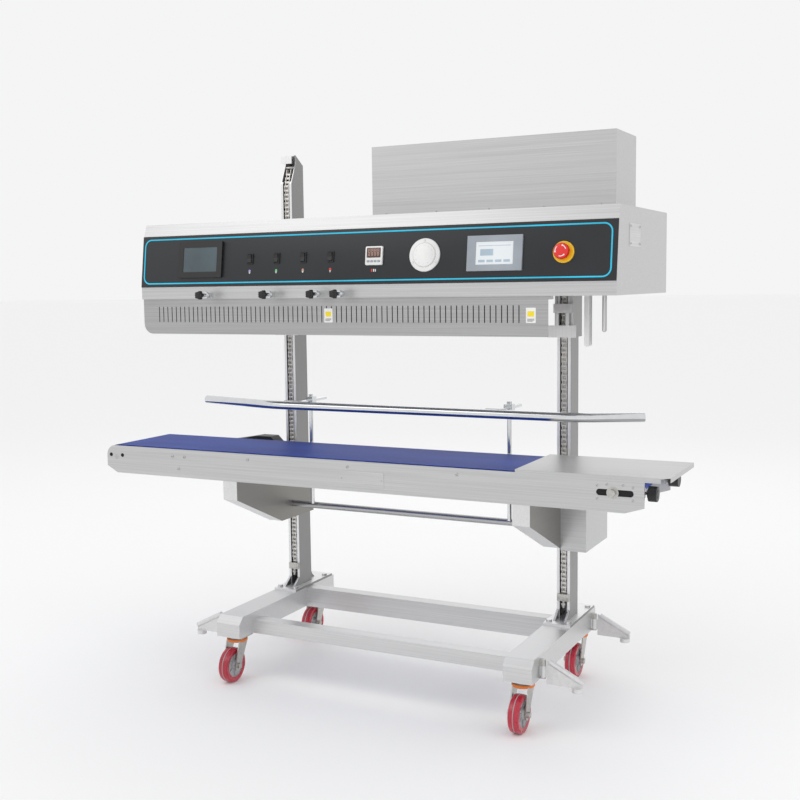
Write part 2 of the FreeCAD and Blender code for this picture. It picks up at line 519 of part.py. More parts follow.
bed_front = D.conv_front_y + D.side_thick
bed_rear = D.conv_rear_y - D.side_thick
top = D.bed_top_z
bed = [box(D.bed_left_x, D.belt_front_y, top - D.bed_thick, D.bed_right_x, D.belt_rear_y, top)]
for k in range(5):
    cx = D.bed_left_x + 40 + (D.bed_right_x - D.bed_left_x - 80) * (k / 4.0)
    bed.append(box(cx - D.bed_tie_half, bed_front, D.bed_tie_z, cx + D.bed_tie_half, bed_rear,
                   D.bed_tie_z + D.bed_tie_high))
    bed.append(box(cx - D.bed_tie_half, D.belt_front_y + 20, D.bed_tie_z, cx + D.bed_tie_half,
                   D.belt_rear_y - 20, top - 1))
finish("slider_bed", fuse(bed))

span = D.belt_rear_y - D.belt_front_y
over = loop_prism("y", D.nose_x, D.tail_x, None, D.roll_z, D.belt_in_rad + D.belt_thick,
                  D.belt_front_y, span)
under = loop_prism("y", D.nose_x, D.tail_x, None, D.roll_z, D.belt_in_rad,
                   D.belt_front_y - 1, span + 2)
finish("conveyor_belt", cut(over, [under]))


def roller(node, rx, rz, rad, journal=True):
    """Belt roller with its journals in the side plates."""
    ya = D.belt_front_y - D.roll_inset
    yb = D.belt_rear_y + D.roll_inset
    drum = cyl("y", rx, ya, rz, rad, yb - ya)
    pin_a = D.conv_front_y + D.cast_gap if journal else ya
    pin = cyl("y", rx, pin_a, rz, D.roll_pin_rad, D.conv_rear_y - D.cast_gap - pin_a)
    finish(node, fuse([drum, pin]))


roller("nose_roller", D.nose_x, D.roll_z, D.roll_rad)
roller("tail_roller", D.tail_x, D.roll_z, D.roll_rad)
roller("drive_roller", D.drive_x, D.drive_z, D.drive_rad, False)

tray_front = D.conv_front_y - D.tray_over
tray_rear = D.conv_rear_y + D.tray_over
zt = D.tray_top_z
flat = [(D.tray_left_x, tray_front), (D.tray_right_x - D.tray_corner, tray_front)]
flat += [(D.tray_right_x, tray_front + D.tray_corner), (D.tray_right_x, tray_rear)]
flat += [(D.tray_left_x, tray_rear)]
tray = [prism("XY", flat, zt - D.tray_thick, D.tray_thick)]
for ya, yb in ((tray_front, tray_front + D.tray_over), (tray_rear - D.tray_over, tray_rear)):
    tray.append(box(D.tray_left_x, ya, zt - D.tray_lip, D.tray_right_x - D.tray_corner, yb, zt))
tray.append(box(D.tray_right_x - D.tray_thick, tray_front + D.tray_corner, zt - D.tray_lip,
                D.tray_right_x, tray_rear, zt))
finish("infeed_tray", fuse(tray))

arms = []
for side, cx, sgn in SIDES:
    zt = D.conv_low_z
    wall = D.arm_wall
    out = [(D.arm_front_y, D.arm_front_low_z), (D.arm_low_y, D.arm_low_z),
           (D.arm_rear_y, D.arm_low_z), (D.arm_rear_y, D.arm_rear_top_z),
           (D.conv_rear_y, zt), (D.arm_front_y, zt)]
    hole = [(D.arm_front_y + wall, D.arm_front_low_z + wall), (D.arm_low_y, D.arm_low_z + wall),
            (D.arm_rear_y - wall, D.arm_low_z + wall), (D.arm_rear_y - wall, zt + 5),
            (D.arm_front_y + wall, zt + 5)]
    shell = prism("YZ", out, cx - D.arm_half, D.arm_half * 2)
    tools = [prism("YZ", hole, cx - D.arm_half + wall, (D.arm_half - wall) * 2)]
    gap = D.arm_half - wall
    tools.append(box(cx - gap, D.anchor_front_y - 4, D.arm_low_z - 1, cx + gap,
                     D.col_rear_y + D.arm_back_gap, D.arm_low_z + wall + 1))
    tools.append(cyl("x", cx - D.arm_half - 1, D.shaft_y, D.shaft_z, D.shaft_rad + D.run_gap,
                     D.arm_half * 2 + 2))
    body = cut(shell, tools)
    block = box(cx - gap, D.col_rear_y + D.arm_back_gap, D.clamp_low_z, cx + gap,
                D.arm_rear_y - wall / 2, D.clamp_low_z + D.clamp_high)
    lock = cyl("y", cx, D.arm_rear_y - 1, D.clamp_low_z + D.clamp_high / 2, D.nut_rad, D.nut_high)
    arms.append(fuse([body, block, lock]))
finish("support_arms", group(arms))


def lift_shaft(node, pz, xa, xb):
    """Cross shaft with a toothed chain wheel at each column."""
    parts = [cyl("x", xa, D.shaft_y, pz, D.shaft_rad, xb - xa)]
    for side, cx, sgn in SIDES:
        pts = []
        teeth = 20
        for k in range(teeth):
            for frac, rad in ((0.0, D.spr_root_rad), (0.35, D.spr_tip_rad), (0.65, D.spr_tip_rad)):
                ang = 2 * math.pi * (k + frac) / teeth
                pts.append((D.shaft_y + rad * round(math.cos(ang), 6),
                            pz + rad * round(math.sin(ang), 6)))
        parts.append(prism("YZ", pts, cx - D.spr_half, D.spr_half * 2))
        parts.append(cyl("x", cx - D.spr_hub_half, D.shaft_y, pz, D.spr_hub_rad,
                         D.spr_hub_half * 2))
    finish(node, fuse(parts))


lift_shaft("conveyor_lift_shaft", D.shaft_z, D.shaft_left_x, D.shaft_right_x)
lift_shaft("head_lift_shaft", D.head_shaft_z, D.shaft_left_x, D.right_x + D.car_half + 10)

xa = D.right_x + D.arm_half
skin = box(xa, D.cover_front_y, D.cover_low_z, D.cover_right_x, D.cover_rear_y, D.cover_top_z)
void = box(xa - 1, D.cover_front_y + D.cover_wall, D.cover_low_z + D.cover_wall,
           D.cover_right_x - D.cover_wall, D.cover_rear_y - D.cover_wall,
           D.cover_top_z - D.cover_wall)
finish("lift_drive_cover", cut(skin, [void]))

ya = D.conv_rear_y
case = [(D.motor_left_x, D.motor_low_z), (D.motor_right_x, D.motor_low_z)]
case += [(D.motor_right_x, D.motor_right_z), (D.motor_fall_x, D.motor_top_z)]
case += [(D.motor_flat_x, D.motor_top_z), (D.motor_step_x, D.motor_step_z)]
case += [(D.motor_left_x, D.motor_left_z)]
body = prism("XZ", case, D.motor_front_y, D.motor_rear_y - D.motor_front_y)
gear = box(D.drive_x - D.gear_half, ya, D.gear_low_z, D.drive_x + D.gear_half,
           ya + D.gear_deep, D.gear_low_z + D.gear_high)
finish("belt_drive_motor", fuse([body, gear]))

for tag, ky in (("front", D.knob_y), ("rear", D.conv_front_y + D.conv_rear_y - D.knob_y)):
    grip = cyl("x", D.knob_x, ky, D.roll_z, D.knob_rad, D.knob_len)
    stem = cyl("x", D.screw_left_x, ky, D.roll_z, D.screw_rad, D.knob_x - D.screw_left_x + 1)
    finish("tension_knob_" + tag, fuse([grip, stem]))

blocks = []
for ky, wall_y in ((D.knob_y, D.conv_front_y + D.side_thick),
                   (D.conv_front_y + D.conv_rear_y - D.knob_y, D.conv_rear_y - D.side_thick)):
    far = ky + D.block_half if ky.val < 0 and wall_y.val < ky.val else ky - D.block_half
    lo = wall_y if wall_y.val < far.val else far
    hi = far if wall_y.val < far.val else wall_y
    blk = box(D.block_left_x, lo, D.roll_z - D.block_half, D.block_left_x + D.block_len, hi,
              D.roll_z + D.block_half)
    blocks.append(cut(blk, [cyl("x", D.block_left_x - 1, ky, D.roll_z, D.screw_rad + D.run_gap,
                                D.block_len + 2)]))

clamps = []
for px in (D.post_left_x, D.post_right_x):
    blk = box(px - D.post_clamp_half, D.conv_rear_y, D.post_clamp_low_z, px + D.post_clamp_half,
              D.post_y + D.post_clamp_half, D.post_clamp_low_z + D.post_clamp_high)
    hole = cyl("z", px, D.post_y, D.post_clamp_low_z - 1, D.post_rad + D.run_gap,
               D.post_clamp_high + 2)
    thumb = cyl("y", px, D.post_y + D.post_clamp_half - 1,
                D.post_clamp_low_z + D.post_clamp_high / 2, D.thumb_rad, D.thumb_len)
    clamps.append(fuse([cut(blk, [hole]), thumb]))
finish("clamp_blocks", group(clamps + blocks))

posts = []
for px in (D.post_left_x, D.post_right_x):
    stem = cyl("z", px, D.post_y, D.post_low_z, D.post_rad, D.post_top_z - D.post_low_z)
    tee = box(px - D.tee_half, D.post_y - D.tee_half, D.tee_low_z, px + D.tee_half,
              D.post_y + D.tee_half, D.tee_low_z + D.tee_high)
    hole = cyl("y", px, D.post_y - D.tee_half - 1, D.rod_z, D.rod_rad + D.run_gap,
               D.tee_half * 2 + 2)
    thumb = cyl("z", px, D.post_y, D.tee_low_z + D.tee_high - 1, D.thumb_rad, D.thumb_len * 0.6)
    posts.append(cut(fuse([stem, tee, thumb]), [hole]))
finish("guard_posts", group(posts))


def pipe_run(xa, ya, xb, yb):
    """Straight length of the guard tube between two points at rail height."""
    dx = xb - xa
    dy = yb - ya
    size = math.hypot(dx.val, dy.val)
    obj = doc.addObject("Part::Cylinder", fresh("pipe"))
    heading = FreeCAD.Rotation(V(1, 0, 0), V(dx.val, dy.val, 0))
    stand = FreeCAD.Rotation(V(0, 1, 0), 90)
    obj.Placement = FreeCAD.Placement(V(0, 0, 0), heading.multiply(stand))
    bind(obj, "Radius", D.rail_rad)
    bind(obj, "Height", dx * round(size / dx.val, 5))
    return place(obj, xa, ya, D.rail_z)


def ball(px, py, pz, rad):
    """Sphere used to blend two lengths of tube."""
    obj = doc.addObject("Part::Sphere", fresh("ball"))
    bind(obj, "Radius", rad)
    return place(obj, px, py, pz)


rail = [cyl("x", D.rail_mid_left_x, D.rail_y, D.rail_z, D.rail_rad,
            D.rail_mid_right_x - D.rail_mid_left_x)]
rail.append(pipe_run(D.rail_mid_left_x, D.rail_y, D.rail_end_left_x, D.rail_end_y))
rail.append(pipe_run(D.rail_mid_right_x, D.rail_y, D.rail_end_right_x, D.rail_end_y))
rail.append(ball(D.rail_mid_left_x, D.rail_y, D.rail_z, D.rail_rad))
rail.append(ball(D.rail_mid_right_x, D.rail_y, D.rail_z, D.rail_rad))
for px in (D.post_left_x, D.post_right_x):
    ya = D.rail_y + D.rail_rad - 2
    rail.append(box(px - D.saddle_half, ya, D.rail_z - D.saddle_half_z, px + D.saddle_half,
                    ya + D.saddle_thick, D.rail_z + D.saddle_half_z))
    rail.append(cyl("y", px, ya + 2, D.rod_z, D.rod_rad, D.rod_rear_y - ya - 2))
finish("guard_rail", fuse(rail))

# ---------------------------------------------------------------- head
def head_outline(off):
    """Head profile in the YZ plane, drawn in by a wall thickness."""
    top_y = D.panel_foot_y + (D.panel_top_z - D.panel_foot_z) * D.panel_slope
    pts = [(D.panel_foot_y + off, D.head_low_z + off), (D.head_rear_y - off, D.head_low_z + off)]
    pts += [(D.head_rear_y - off, D.head_top_z - off), (D.head_top_y + off, D.head_top_z - off)]
    pts += [(top_y + off, D.panel_top_z), (D.panel_foot_y + off, D.panel_foot_z)]
    return pts


long_x = D.head_right_x - D.head_left_x
skin = prism("YZ", head_outline(ZERO), D.head_left_x, long_x)
void = prism("YZ", head_outline(D.sheet_wall), D.head_left_x + D.sheet_wall,
             long_x - D.sheet_wall * 2)
tools = [void]
for side, cx, sgn in SIDES:
    tools.append(box(cx - D.cut_half, D.cut_front_y + 34, D.head_low_z - 5, cx + D.cut_half,
                     D.cut_rear_y, D.head_top_z + 5))
finish("head_shell", cut(skin, tools))

foot = D.panel_foot_y
rise = D.panel_top_z - D.panel_foot_z
lay = [(foot, D.panel_foot_z), (foot + rise * D.panel_slope, D.panel_top_z)]
lay += [(foot + rise * D.panel_slope - D.panel_thick, D.panel_top_z),
        (foot - D.panel_thick, D.panel_foot_z)]
panel = prism("YZ", lay, D.head_left_x, long_x)

body = doc.addObject("PartDesign::Body", "front_cover_body")
xa = D.head_left_x
xb = D.cover_right_edge_x
outline = [(xb, D.cover_low_edge_z), (xb, D.head_low_z), (xa, D.head_low_z)]
outline += corner(xa + D.cover_round, D.cover_low_edge_z + D.cover_round, D.cover_round,
                  180, 270, 6)
sk = sketch_loop(body, "XZ", outline)
pad = body.newObject("PartDesign::Pad", "cover_pad")
pad.Profile = sk
bind(pad, "Length", D.sheet_wall)
body.Tip = pad
vent = [(D.vent_left_x, D.vent_low_z), (D.vent_left_x + D.vent_wide, D.vent_low_z),
        (D.vent_left_x + D.vent_wide, D.vent_low_z + D.vent_high),
        (D.vent_left_x, D.vent_low_z + D.vent_high)]
sk_vent = sketch_loop(body, "XZ", vent)
pocket = body.newObject("PartDesign::Pocket", "vent_pocket")
pocket.Profile = sk_vent
pocket.Type = 1
pocket.Midplane = True
body.Tip = pocket
doc.recompute()
row_of = body.newObject("PartDesign::LinearPattern", "vent_row")
row_of.Originals = [pocket]
row_of.Direction = (sk_vent, ["H_Axis"])
bind(row_of, "Length", D.vent_pitch * (D.vent_count - 1))
bind(row_of, "Occurrences", D.vent_count)
body.Tip = row_of
place(body, ZERO, D.cover_face_y + D.sheet_wall, ZERO)
lip = box(xa, D.cover_face_y + D.sheet_wall, D.head_low_z - D.sheet_wall, xb,
          D.cover_face_y + D.cover_lip, D.head_low_z)
finish("front_cover", fuse([body, lip]))

skin = box(D.box_left_x, D.box_front_y, D.head_top_z, D.box_right_x, D.box_rear_y, D.box_top_z)
void = box(D.box_left_x + D.sheet_wall, D.box_front_y + D.sheet_wall, D.head_top_z - 1,
           D.box_right_x - D.sheet_wall, D.box_rear_y - D.sheet_wall, D.box_top_z - D.sheet_wall)
finish("top_housing", cut(skin, [void]))

for tag, px, pz, wide, high, gw, gh in (
        ("left_screen", D.left_screen_x, D.left_screen_z, D.left_screen_w, D.left_screen_high,
         D.left_glass_w, D.left_glass_high),
        ("right_screen", D.right_screen_x, D.right_screen_z, D.right_screen_w,
         D.right_screen_high, D.right_glass_w, D.right_glass_high)):
    bezel = box(-wide / 2, -D.screen_thick, -high / 2, wide / 2, ZERO, high / 2)
    pane = box(-gw / 2, -D.screen_thick - 1, -gh / 2, gw / 2, -D.screen_thick + D.screen_inset,
               gh / 2)
    finish(tag, on_panel(cut(bezel, [pane]), px, pz))

side_half = D.temp_side / 2
bezel = box(-side_half, -D.temp_thick, -side_half, side_half, ZERO, side_half)
pane = box(-side_half + 4, -D.temp_thick - 1, -side_half + 15, side_half - 4,
           -D.temp_thick + D.screen_inset, side_half - 4)
finish("temperature_controller", on_panel(cut(bezel, [pane]), D.temp_x, D.temp_z))

dial = cyl("y", ZERO, -D.gauge_thick, ZERO, D.gauge_rad, D.gauge_thick)
face = cyl("y", ZERO, -D.gauge_thick - D.gauge_dome, ZERO, D.gauge_in_rad,
           D.gauge_thick + D.gauge_dome)
heads = []
for deg in (90, 210, 330):
    ca = round(math.cos(math.radians(deg)), 6)
    sa = round(math.sin(math.radians(deg)), 6)
    heads.append(cyl("y", D.gauge_bolt_ring * ca, -D.gauge_thick - D.screen_inset,
                     D.gauge_bolt_ring * sa, D.gauge_bolt_rad, D.gauge_thick))
finish("pressure_gauge", on_panel(fuse([dial, face] + heads), D.gauge_x, D.gauge_z))

ring = cyl("y", ZERO, -D.stop_ring_thick, ZERO, D.stop_ring_rad, D.stop_ring_thick)
well = cyl("y", ZERO, -D.stop_ring_thick - 1, ZERO, D.stop_bore_rad, D.stop_ring_thick + 1)
stop_ring = on_panel(cut(ring, [well]), D.stop_x, D.stop_z)
stem = cyl("y", ZERO, -D.stop_cap_low - 1, ZERO, D.stop_stem_rad, D.stop_cap_low - 5.5)
cap = cyl("y", ZERO, -D.stop_cap_low - D.stop_cap_len, ZERO, D.stop_cap_rad, D.stop_cap_len)
finish("emergency_stop_button", on_panel(fuse([stem, cap]), D.stop_x, D.stop_z))

frames = []
for tag, px in (("1", D.rocker_one_x), ("2", D.rocker_two_x), ("3", D.rocker_three_x),
                ("4", D.rocker_four_x)):
    hw = D.rocker_w / 2
    hh = D.rocker_high / 2
    out = D.rocker_out
    pts = [(-out * 0.35, -hh + 1), (-out * 0.35, hh - 1), (-out * 1.25, hh - 1),
           (-out * 0.8, ZERO), (-out * 0.9, -hh + 1)]
    lever = prism("YZ", pts, -hw + D.rocker_bezel + 0.4, (hw - D.rocker_bezel - 0.4) * 2)
    pivot = cyl("x", -hw + D.rocker_bezel + 0.1, -out * 0.5, ZERO, D.rocker_pin_rad,
                (hw - D.rocker_bezel - 0.1) * 2)
    finish("rocker_switch_" + tag, on_panel(fuse([lever, pivot]), px, D.rocker_z))
    rim = box(-hw - 1, -out * 0.5, -hh - 3, hw + 1, ZERO, hh + 3)
    gap = box(-hw + D.rocker_bezel, -out, -hh - 0.5, hw - D.rocker_bezel, -D.cast_gap,
              hh + 0.5)
    frames.append(on_panel(cut(rim, [gap]), px, D.rocker_z))
finish("control_panel", group([panel, stop_ring] + frames))

for tag, px in (("1", D.press_one_x), ("2", D.press_two_x), ("3", D.press_three_x),
                ("4", D.press_four_x)):
    base_y = D.panel_foot_y - D.press_gap
    stem = cyl("y", px, D.press_tip_y + 1, D.press_z, D.press_stem_rad,
               base_y - D.press_tip_y - 1)
    nut = cyl("y", px, base_y - D.press_nut_len, D.press_z, D.press_nut_rad, D.press_nut_len)
    parts = [stem, nut]
    core = D.press_lobe_ring + 0.5
    parts.append(cyl("y", px, D.press_tip_y, D.press_z, core, D.press_knob_len))
    for k in range(5):
        ang = 2 * math.pi * k / 5 + 0.3
        lx = px + D.press_lobe_ring * round(math.cos(ang), 6)
        lz = D.press_z + D.press_lobe_ring * round(math.sin(ang), 6)
        parts.append(cyl("y", lx, D.press_tip_y, lz, D.press_lobe_rad, D.press_knob_len * 0.7))
    finish("pressure_knob_" + tag, fuse(parts))

# ---------------------------------------------------------------- sealing unit under the head
plates = []
for sgn in (-1, 1):
    near = D.bag_y + sgn * D.seal_slot_half
    far = near + sgn * D.seal_plate_deep
    ya, yb = (near, far) if sgn > 0 else (far, near)
    plate = box(D.seal_left_x, ya, D.seal_plate_low_z, D.seal_right_x, yb, D.head_low_z)
    holes = []
    parts = [plate]
    run_y = D.bag_y + sgn * (D.bag_half + D.band_thick + D.pulley_rad)
    for px in (D.pulley_left_x, D.pulley_right_x):
        holes.append(cyl("z", px, run_y, D.seal_plate_low_z - 1, D.pulley_pin_rad + D.run_gap,
                         D.head_low_z - D.seal_plate_low_z - 1))
    inner_y = D.bag_y + sgn * (D.bag_half + D.band_thick + 0.3)
    deep_y = inner_y + sgn * D.seal_block_deep
    lo, hi = (inner_y, deep_y) if sgn > 0 else (deep_y, inner_y)
    for k in range(int(D.seal_block_count.val)):
        bx = D.seal_block_one_x + k * D.seal_block_pitch
        parts.append(box(bx, lo, D.seal_block_low_z, bx + D.seal_block_len, hi,
                         D.band_low_z + D.band_high + 6))
        mid = (lo + hi) / 2
        parts.append(box(bx + D.seal_block_len / 2 - 10, mid - 4, D.band_low_z + D.band_high + 5,
                         bx + D.seal_block_len / 2 + 10, mid + sgn * 4 + 4,
                         D.seal_plate_low_z + 1))
    plates.append(cut(fuse(parts), holes))
finish("sealing_frame", group(plates))

bands = []
for sgn in (-1, 1):
    mid_y = D.bag_y + sgn * (D.bag_half + D.band_thick + D.pulley_rad)
    big = loop_prism("z", D.pulley_left_x, D.pulley_right_x, mid_y, None,
                     D.pulley_rad + D.band_thick, D.band_low_z, D.band_high)
    small = loop_prism("z", D.pulley_left_x, D.pulley_right_x, mid_y, None, D.pulley_rad,
                       D.band_low_z - 1, D.band_high + 2)
    bands.append(cut(big, [small]))
finish("sealing_bands", group(bands))

for sgn, tag in ((-1, "front"), (1, "rear")):
    mid_y = D.bag_y + sgn * (D.bag_half + D.band_thick + D.pulley_rad)
    for side, px in (("left", D.pulley_left_x), ("right", D.pulley_right_x)):
        disc = cyl("z", px, mid_y, D.band_low_z, D.pulley_rad - D.pulley_gap, D.band_high)
        pin = cyl("z", px, mid_y, D.band_low_z, D.pulley_pin_rad,
                  D.head_low_z - 3 - D.band_low_z)
        finish("band_pulley_%s_%s" % (tag, side), fuse([disc, pin]))

# ---------------------------------------------------------------- carriages on the columns
cars = []
for side, cx, sgn in SIDES:
    skin = box(cx - D.car_half, D.car_in_front_y, D.car_low_z, cx + D.car_half, D.car_rear_y,
               D.car_top_z)
    void = box(cx - D.car_in_half, D.car_in_front_y - 1, D.car_low_z - 1, cx + D.car_in_half,
               D.car_in_rear_y, D.car_top_z + 1)
    pieces = [cut(skin, [void])]
    pieces.append(box(cx - D.car_plate_left, D.car_front_y, D.car_low_z, cx + D.car_plate_right,
                      D.car_in_front_y, D.car_low_z + D.car_plate_high))
    pieces.append(box(cx - D.car_half, D.car_front_y, D.car_top_z - D.car_top_plate_high,
                      cx + D.car_half, D.car_in_front_y, D.car_top_z))
    for off in (-1, 1):
        xa = cx + off * (D.car_half + D.car_in_half) / 2 - (D.car_half - D.car_in_half) / 2
        ear = box(xa, D.car_ear_front_y, D.car_ear_low_z, xa + D.car_half - D.car_in_half,
                  D.car_rear_y, D.car_ear_low_z + D.car_ear_high)
        pieces.append(ear)
    for sx in (cx - D.spring_left, cx + D.spring_right):
        pieces.append(cyl("z", sx, D.spring_y, D.car_low_z + D.car_plate_high - 1, D.spring_rad,
                          D.spring_high + 11))
    pieces.append(box(cx - D.car_half, D.car_front_y, D.dark_low_z, cx + D.car_half,
                      D.car_in_front_y, D.dark_low_z + D.dark_high))
    pieces.append(box(cx - D.car_half, D.car_rear_y, D.car_ear_low_z, cx + D.car_half,
                      D.head_rear_y - D.sheet_wall, D.car_ear_low_z + D.car_ear_high))
    bore = cyl("x", cx - D.car_half - 1, D.shaft_y, D.head_shaft_z, D.shaft_rad + D.run_gap,
               D.car_half * 2 + 2)
    cars.append(cut(fuse(pieces), [bore]))
finish("head_carriages", group(cars))

guides = []
for sgn in (-1, 1):
    near = D.bag_y + sgn * D.guide_gap_half
    far = near + sgn * D.guide_thick
    ya, yb = (near, far) if sgn > 0 else (far, near)
    xa = D.guide_left_x
    mid = xa + D.guide_w / 2
    rad = D.guide_w / 2
    guides.append(fuse([box(xa, ya, D.guide_low_z + rad, xa + D.guide_w, yb, D.head_low_z),
                        cyl("y", mid, ya, D.guide_low_z + rad, rad, yb - ya)]))
rad = D.guide_bar_w / 2
bar_low = D.guide_bar_low_z + rad
bar = [cyl("z", D.guide_bar_x, D.guide_bar_y, bar_low, rad, D.head_low_z - bar_low)]
tip = doc.addObject("Part::Sphere", fresh("ball"))
bind(tip, "Radius", rad)
bar.append(place(tip, D.guide_bar_x, D.guide_bar_y, bar_low))
guides.append(fuse(bar))
finish("infeed_guides", group(guides))

# ---------------------------------------------------------------- check and write
doc.recompute()
bad = []
for obj in doc.Objects:
    if "Invalid" in obj.State or "Error" in obj.State:
        bad.append((obj.Name, obj.State))
for node in sorted(nodes):
    shape = nodes[node].Shape
    if shape.isNull() or not shape.isValid():
        bad.append((node, "shape"))
if bad:
    raise RuntimeError("not clean: %s" % bad)
os.makedirs("parts", exist_ok=True)
for node in sorted(nodes):
    nodes[node].Shape.exportStep("parts/" + node + ".step")
print("wrote", len(nodes), "parts")
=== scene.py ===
import math

import bmesh
import bpy
from mathutils import Matrix, Vector


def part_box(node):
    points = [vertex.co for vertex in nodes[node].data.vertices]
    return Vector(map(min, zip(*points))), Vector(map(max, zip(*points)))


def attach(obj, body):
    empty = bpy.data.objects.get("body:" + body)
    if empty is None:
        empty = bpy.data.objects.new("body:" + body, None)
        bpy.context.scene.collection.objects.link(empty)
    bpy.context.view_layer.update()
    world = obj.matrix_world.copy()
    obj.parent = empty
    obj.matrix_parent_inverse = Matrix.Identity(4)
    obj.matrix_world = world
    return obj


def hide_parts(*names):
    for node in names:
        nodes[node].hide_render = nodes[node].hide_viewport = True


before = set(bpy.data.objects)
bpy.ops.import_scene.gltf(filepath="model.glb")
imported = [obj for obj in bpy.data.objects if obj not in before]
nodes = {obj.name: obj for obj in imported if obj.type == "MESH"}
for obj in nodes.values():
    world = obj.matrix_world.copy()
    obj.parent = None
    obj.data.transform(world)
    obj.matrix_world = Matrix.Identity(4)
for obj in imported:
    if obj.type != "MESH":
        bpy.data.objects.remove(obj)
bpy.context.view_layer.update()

# ------------------------------------------------------------ materials


def new_mat(name, color, rough=0.5, metal=0.0, spec=0.5, coat=0.0):
    """A Principled material with its plain values set on the shader."""
    mat = bpy.data.materials.new(name)
    mat.use_nodes = True
    tree = mat.node_tree
    shader = tree.nodes["Principled BSDF"]
    shader.inputs["Base Color"].default_value = (color[0], color[1], color[2], 1)
    shader.inputs["Roughness"].default_value = rough
    shader.inputs["Metallic"].default_value = metal
    shader.inputs["Specular IOR Level"].default_value = spec
    shader.inputs["Coat Weight"].default_value = coat
    mat.diffuse_color = (color[0], color[1], color[2], 1)
    return mat, tree, shader


def coords(tree, scale):
    """Object coordinates stretched by a scale per axis."""
    src = tree.nodes.new("ShaderNodeTexCoord")
    mapping = tree.nodes.new("ShaderNodeMapping")
    mapping.inputs["Scale"].default_value = scale
    tree.links.new(src.outputs["Object"], mapping.inputs["Vector"])
    return mapping.outputs["Vector"]


def noise(tree, scale, detail=2.0, size=1.0, rough=0.5):
    node = tree.nodes.new("ShaderNodeTexNoise")
    node.inputs["Scale"].default_value = size
    node.inputs["Detail"].default_value = detail
    node.inputs["Roughness"].default_value = rough
    tree.links.new(coords(tree, scale), node.inputs["Vector"])
    return node.outputs["Fac"]


def ramp(tree, fac, low, high, a=0.3, b=0.7):
    """Two-colour ramp between two positions."""
    node = tree.nodes.new("ShaderNodeValToRGB")
    node.color_ramp.elements[0].position = a
    node.color_ramp.elements[1].position = b
    node.color_ramp.elements[0].color = (low[0], low[1], low[2], 1)
    node.color_ramp.elements[1].color = (high[0], high[1], high[2], 1)
    tree.links.new(fac, node.inputs["Fac"])
    return node.outputs["Color"]


def to_rough(tree, shader, fac, low, high):
    node = tree.nodes.new("ShaderNodeMapRange")
    node.inputs["To Min"].default_value = low
    node.inputs["To Max"].default_value = high
    tree.links.new(fac, node.inputs["Value"])
    tree.links.new(node.outputs["Result"], shader.inputs["Roughness"])


def bump(tree, shader, fac, strength, distance):
    node = tree.nodes.new("ShaderNodeBump")
    node.inputs["Strength"].default_value = strength
    node.inputs["Distance"].default_value = distance
    tree.links.new(fac, node.inputs["Height"])
    tree.links.new(node.outputs["Normal"], shader.inputs["Normal"])


def brushed(name, level, spread, rough, grain, metal=0.85, tint=(1.0, 1.0, 1.0), side=None):
    """Brushed sheet: long fine streaks along one axis. side is a painted shade colour: faces
    turned along x are darkened towards it.
    """
    lo = [max(0.0, level - spread) * c for c in tint]
    hi = [min(1.0, level + spread) * c for c in tint]
    mat, tree, shader = new_mat(name, [level * c for c in tint], rough, metal)
    streak = noise(tree, grain, 4.0, 1.0, 0.65)
    tone = ramp(tree, streak, lo, hi, 0.32, 0.68)
    # painted shade: the abs of the normal's x mixes the streak tone towards the side colour, so
    # faces turned along x come out darker
    if side:
        src = tree.nodes.new("ShaderNodeTexCoord")
        parts = tree.nodes.new("ShaderNodeSeparateXYZ")
        size = tree.nodes.new("ShaderNodeMath")
        size.operation = "ABSOLUTE"
        tree.links.new(src.outputs["Normal"], parts.inputs["Vector"])
        tree.links.new(parts.outputs["X"], size.inputs[0])
        mix = tree.nodes.new("ShaderNodeMix")
        mix.data_type = "RGBA"
        tree.links.new(size.outputs[0], mix.inputs["Factor"])
        tree.links.new(tone, mix.inputs[6])
        mix.inputs[7].default_value = (side[0], side[1], side[2], 1)
        tone = mix.outputs[2]
    tree.links.new(tone, shader.inputs["Base Color"])
    to_rough(tree, shader, streak, rough - 0.06, rough + 0.1)
    bump(tree, shader, streak, 0.12, 0.0004)
    return mat


LONG = (2.2, 330.0, 330.0)
TALL = (330.0, 330.0, 2.2)
DEEP = (330.0, 2.2, 330.0)
M = {}
M["steel"] = brushed("brushed_steel", 0.57, 0.06, 0.34, LONG)
M["steel_cover"] = brushed("brushed_cover", 0.43, 0.05, 0.36, LONG)
M["steel_light"] = brushed("brushed_light", 0.56, 0.05, 0.36, LONG)
# the last colour is a painted shade for the columns' faces turned along x
M["steel_tall"] = brushed("brushed_tall", 0.85, 0.04, 0.36, TALL, 0.7, (1.0, 1.0, 1.0),
                          (0.28, 0.28, 0.275))
# painted light: a lighter copy of the head's brushed steel, standing for the well-lit right end
M["steel_deep"] = brushed("brushed_deep_lit", 0.66, 0.05, 0.38, DEEP)
# the last colour is a painted shade for the arms' faces turned along x
M["arm"] = brushed("arm_steel", 0.72, 0.05, 0.38, DEEP, 0.8, (1.0, 1.0, 1.0),
                   (0.27, 0.26, 0.24))
M["frame"] = brushed("satin_frame", 0.66, 0.05, 0.33, LONG, 0.8)
M["bright"] = brushed("satin_bright", 0.72, 0.04, 0.3, (120, 120, 120), 0.6)
M["zinc"] = brushed("zinc_plate", 0.52, 0.08, 0.3, (160, 160, 160), 1.0, (1.0, 0.98, 0.93))
M["chain"] = brushed("chain_steel", 0.80, 0.1, 0.34, (300, 300, 300), 0.5, (1.0, 0.97, 0.92))
M["chrome"] = brushed("chrome", 0.72, 0.03, 0.12, (40, 40, 40), 1.0, (0.97, 0.99, 1.0))
M["roller"] = brushed("roller_steel", 0.5, 0.05, 0.35, DEEP, 1.0)


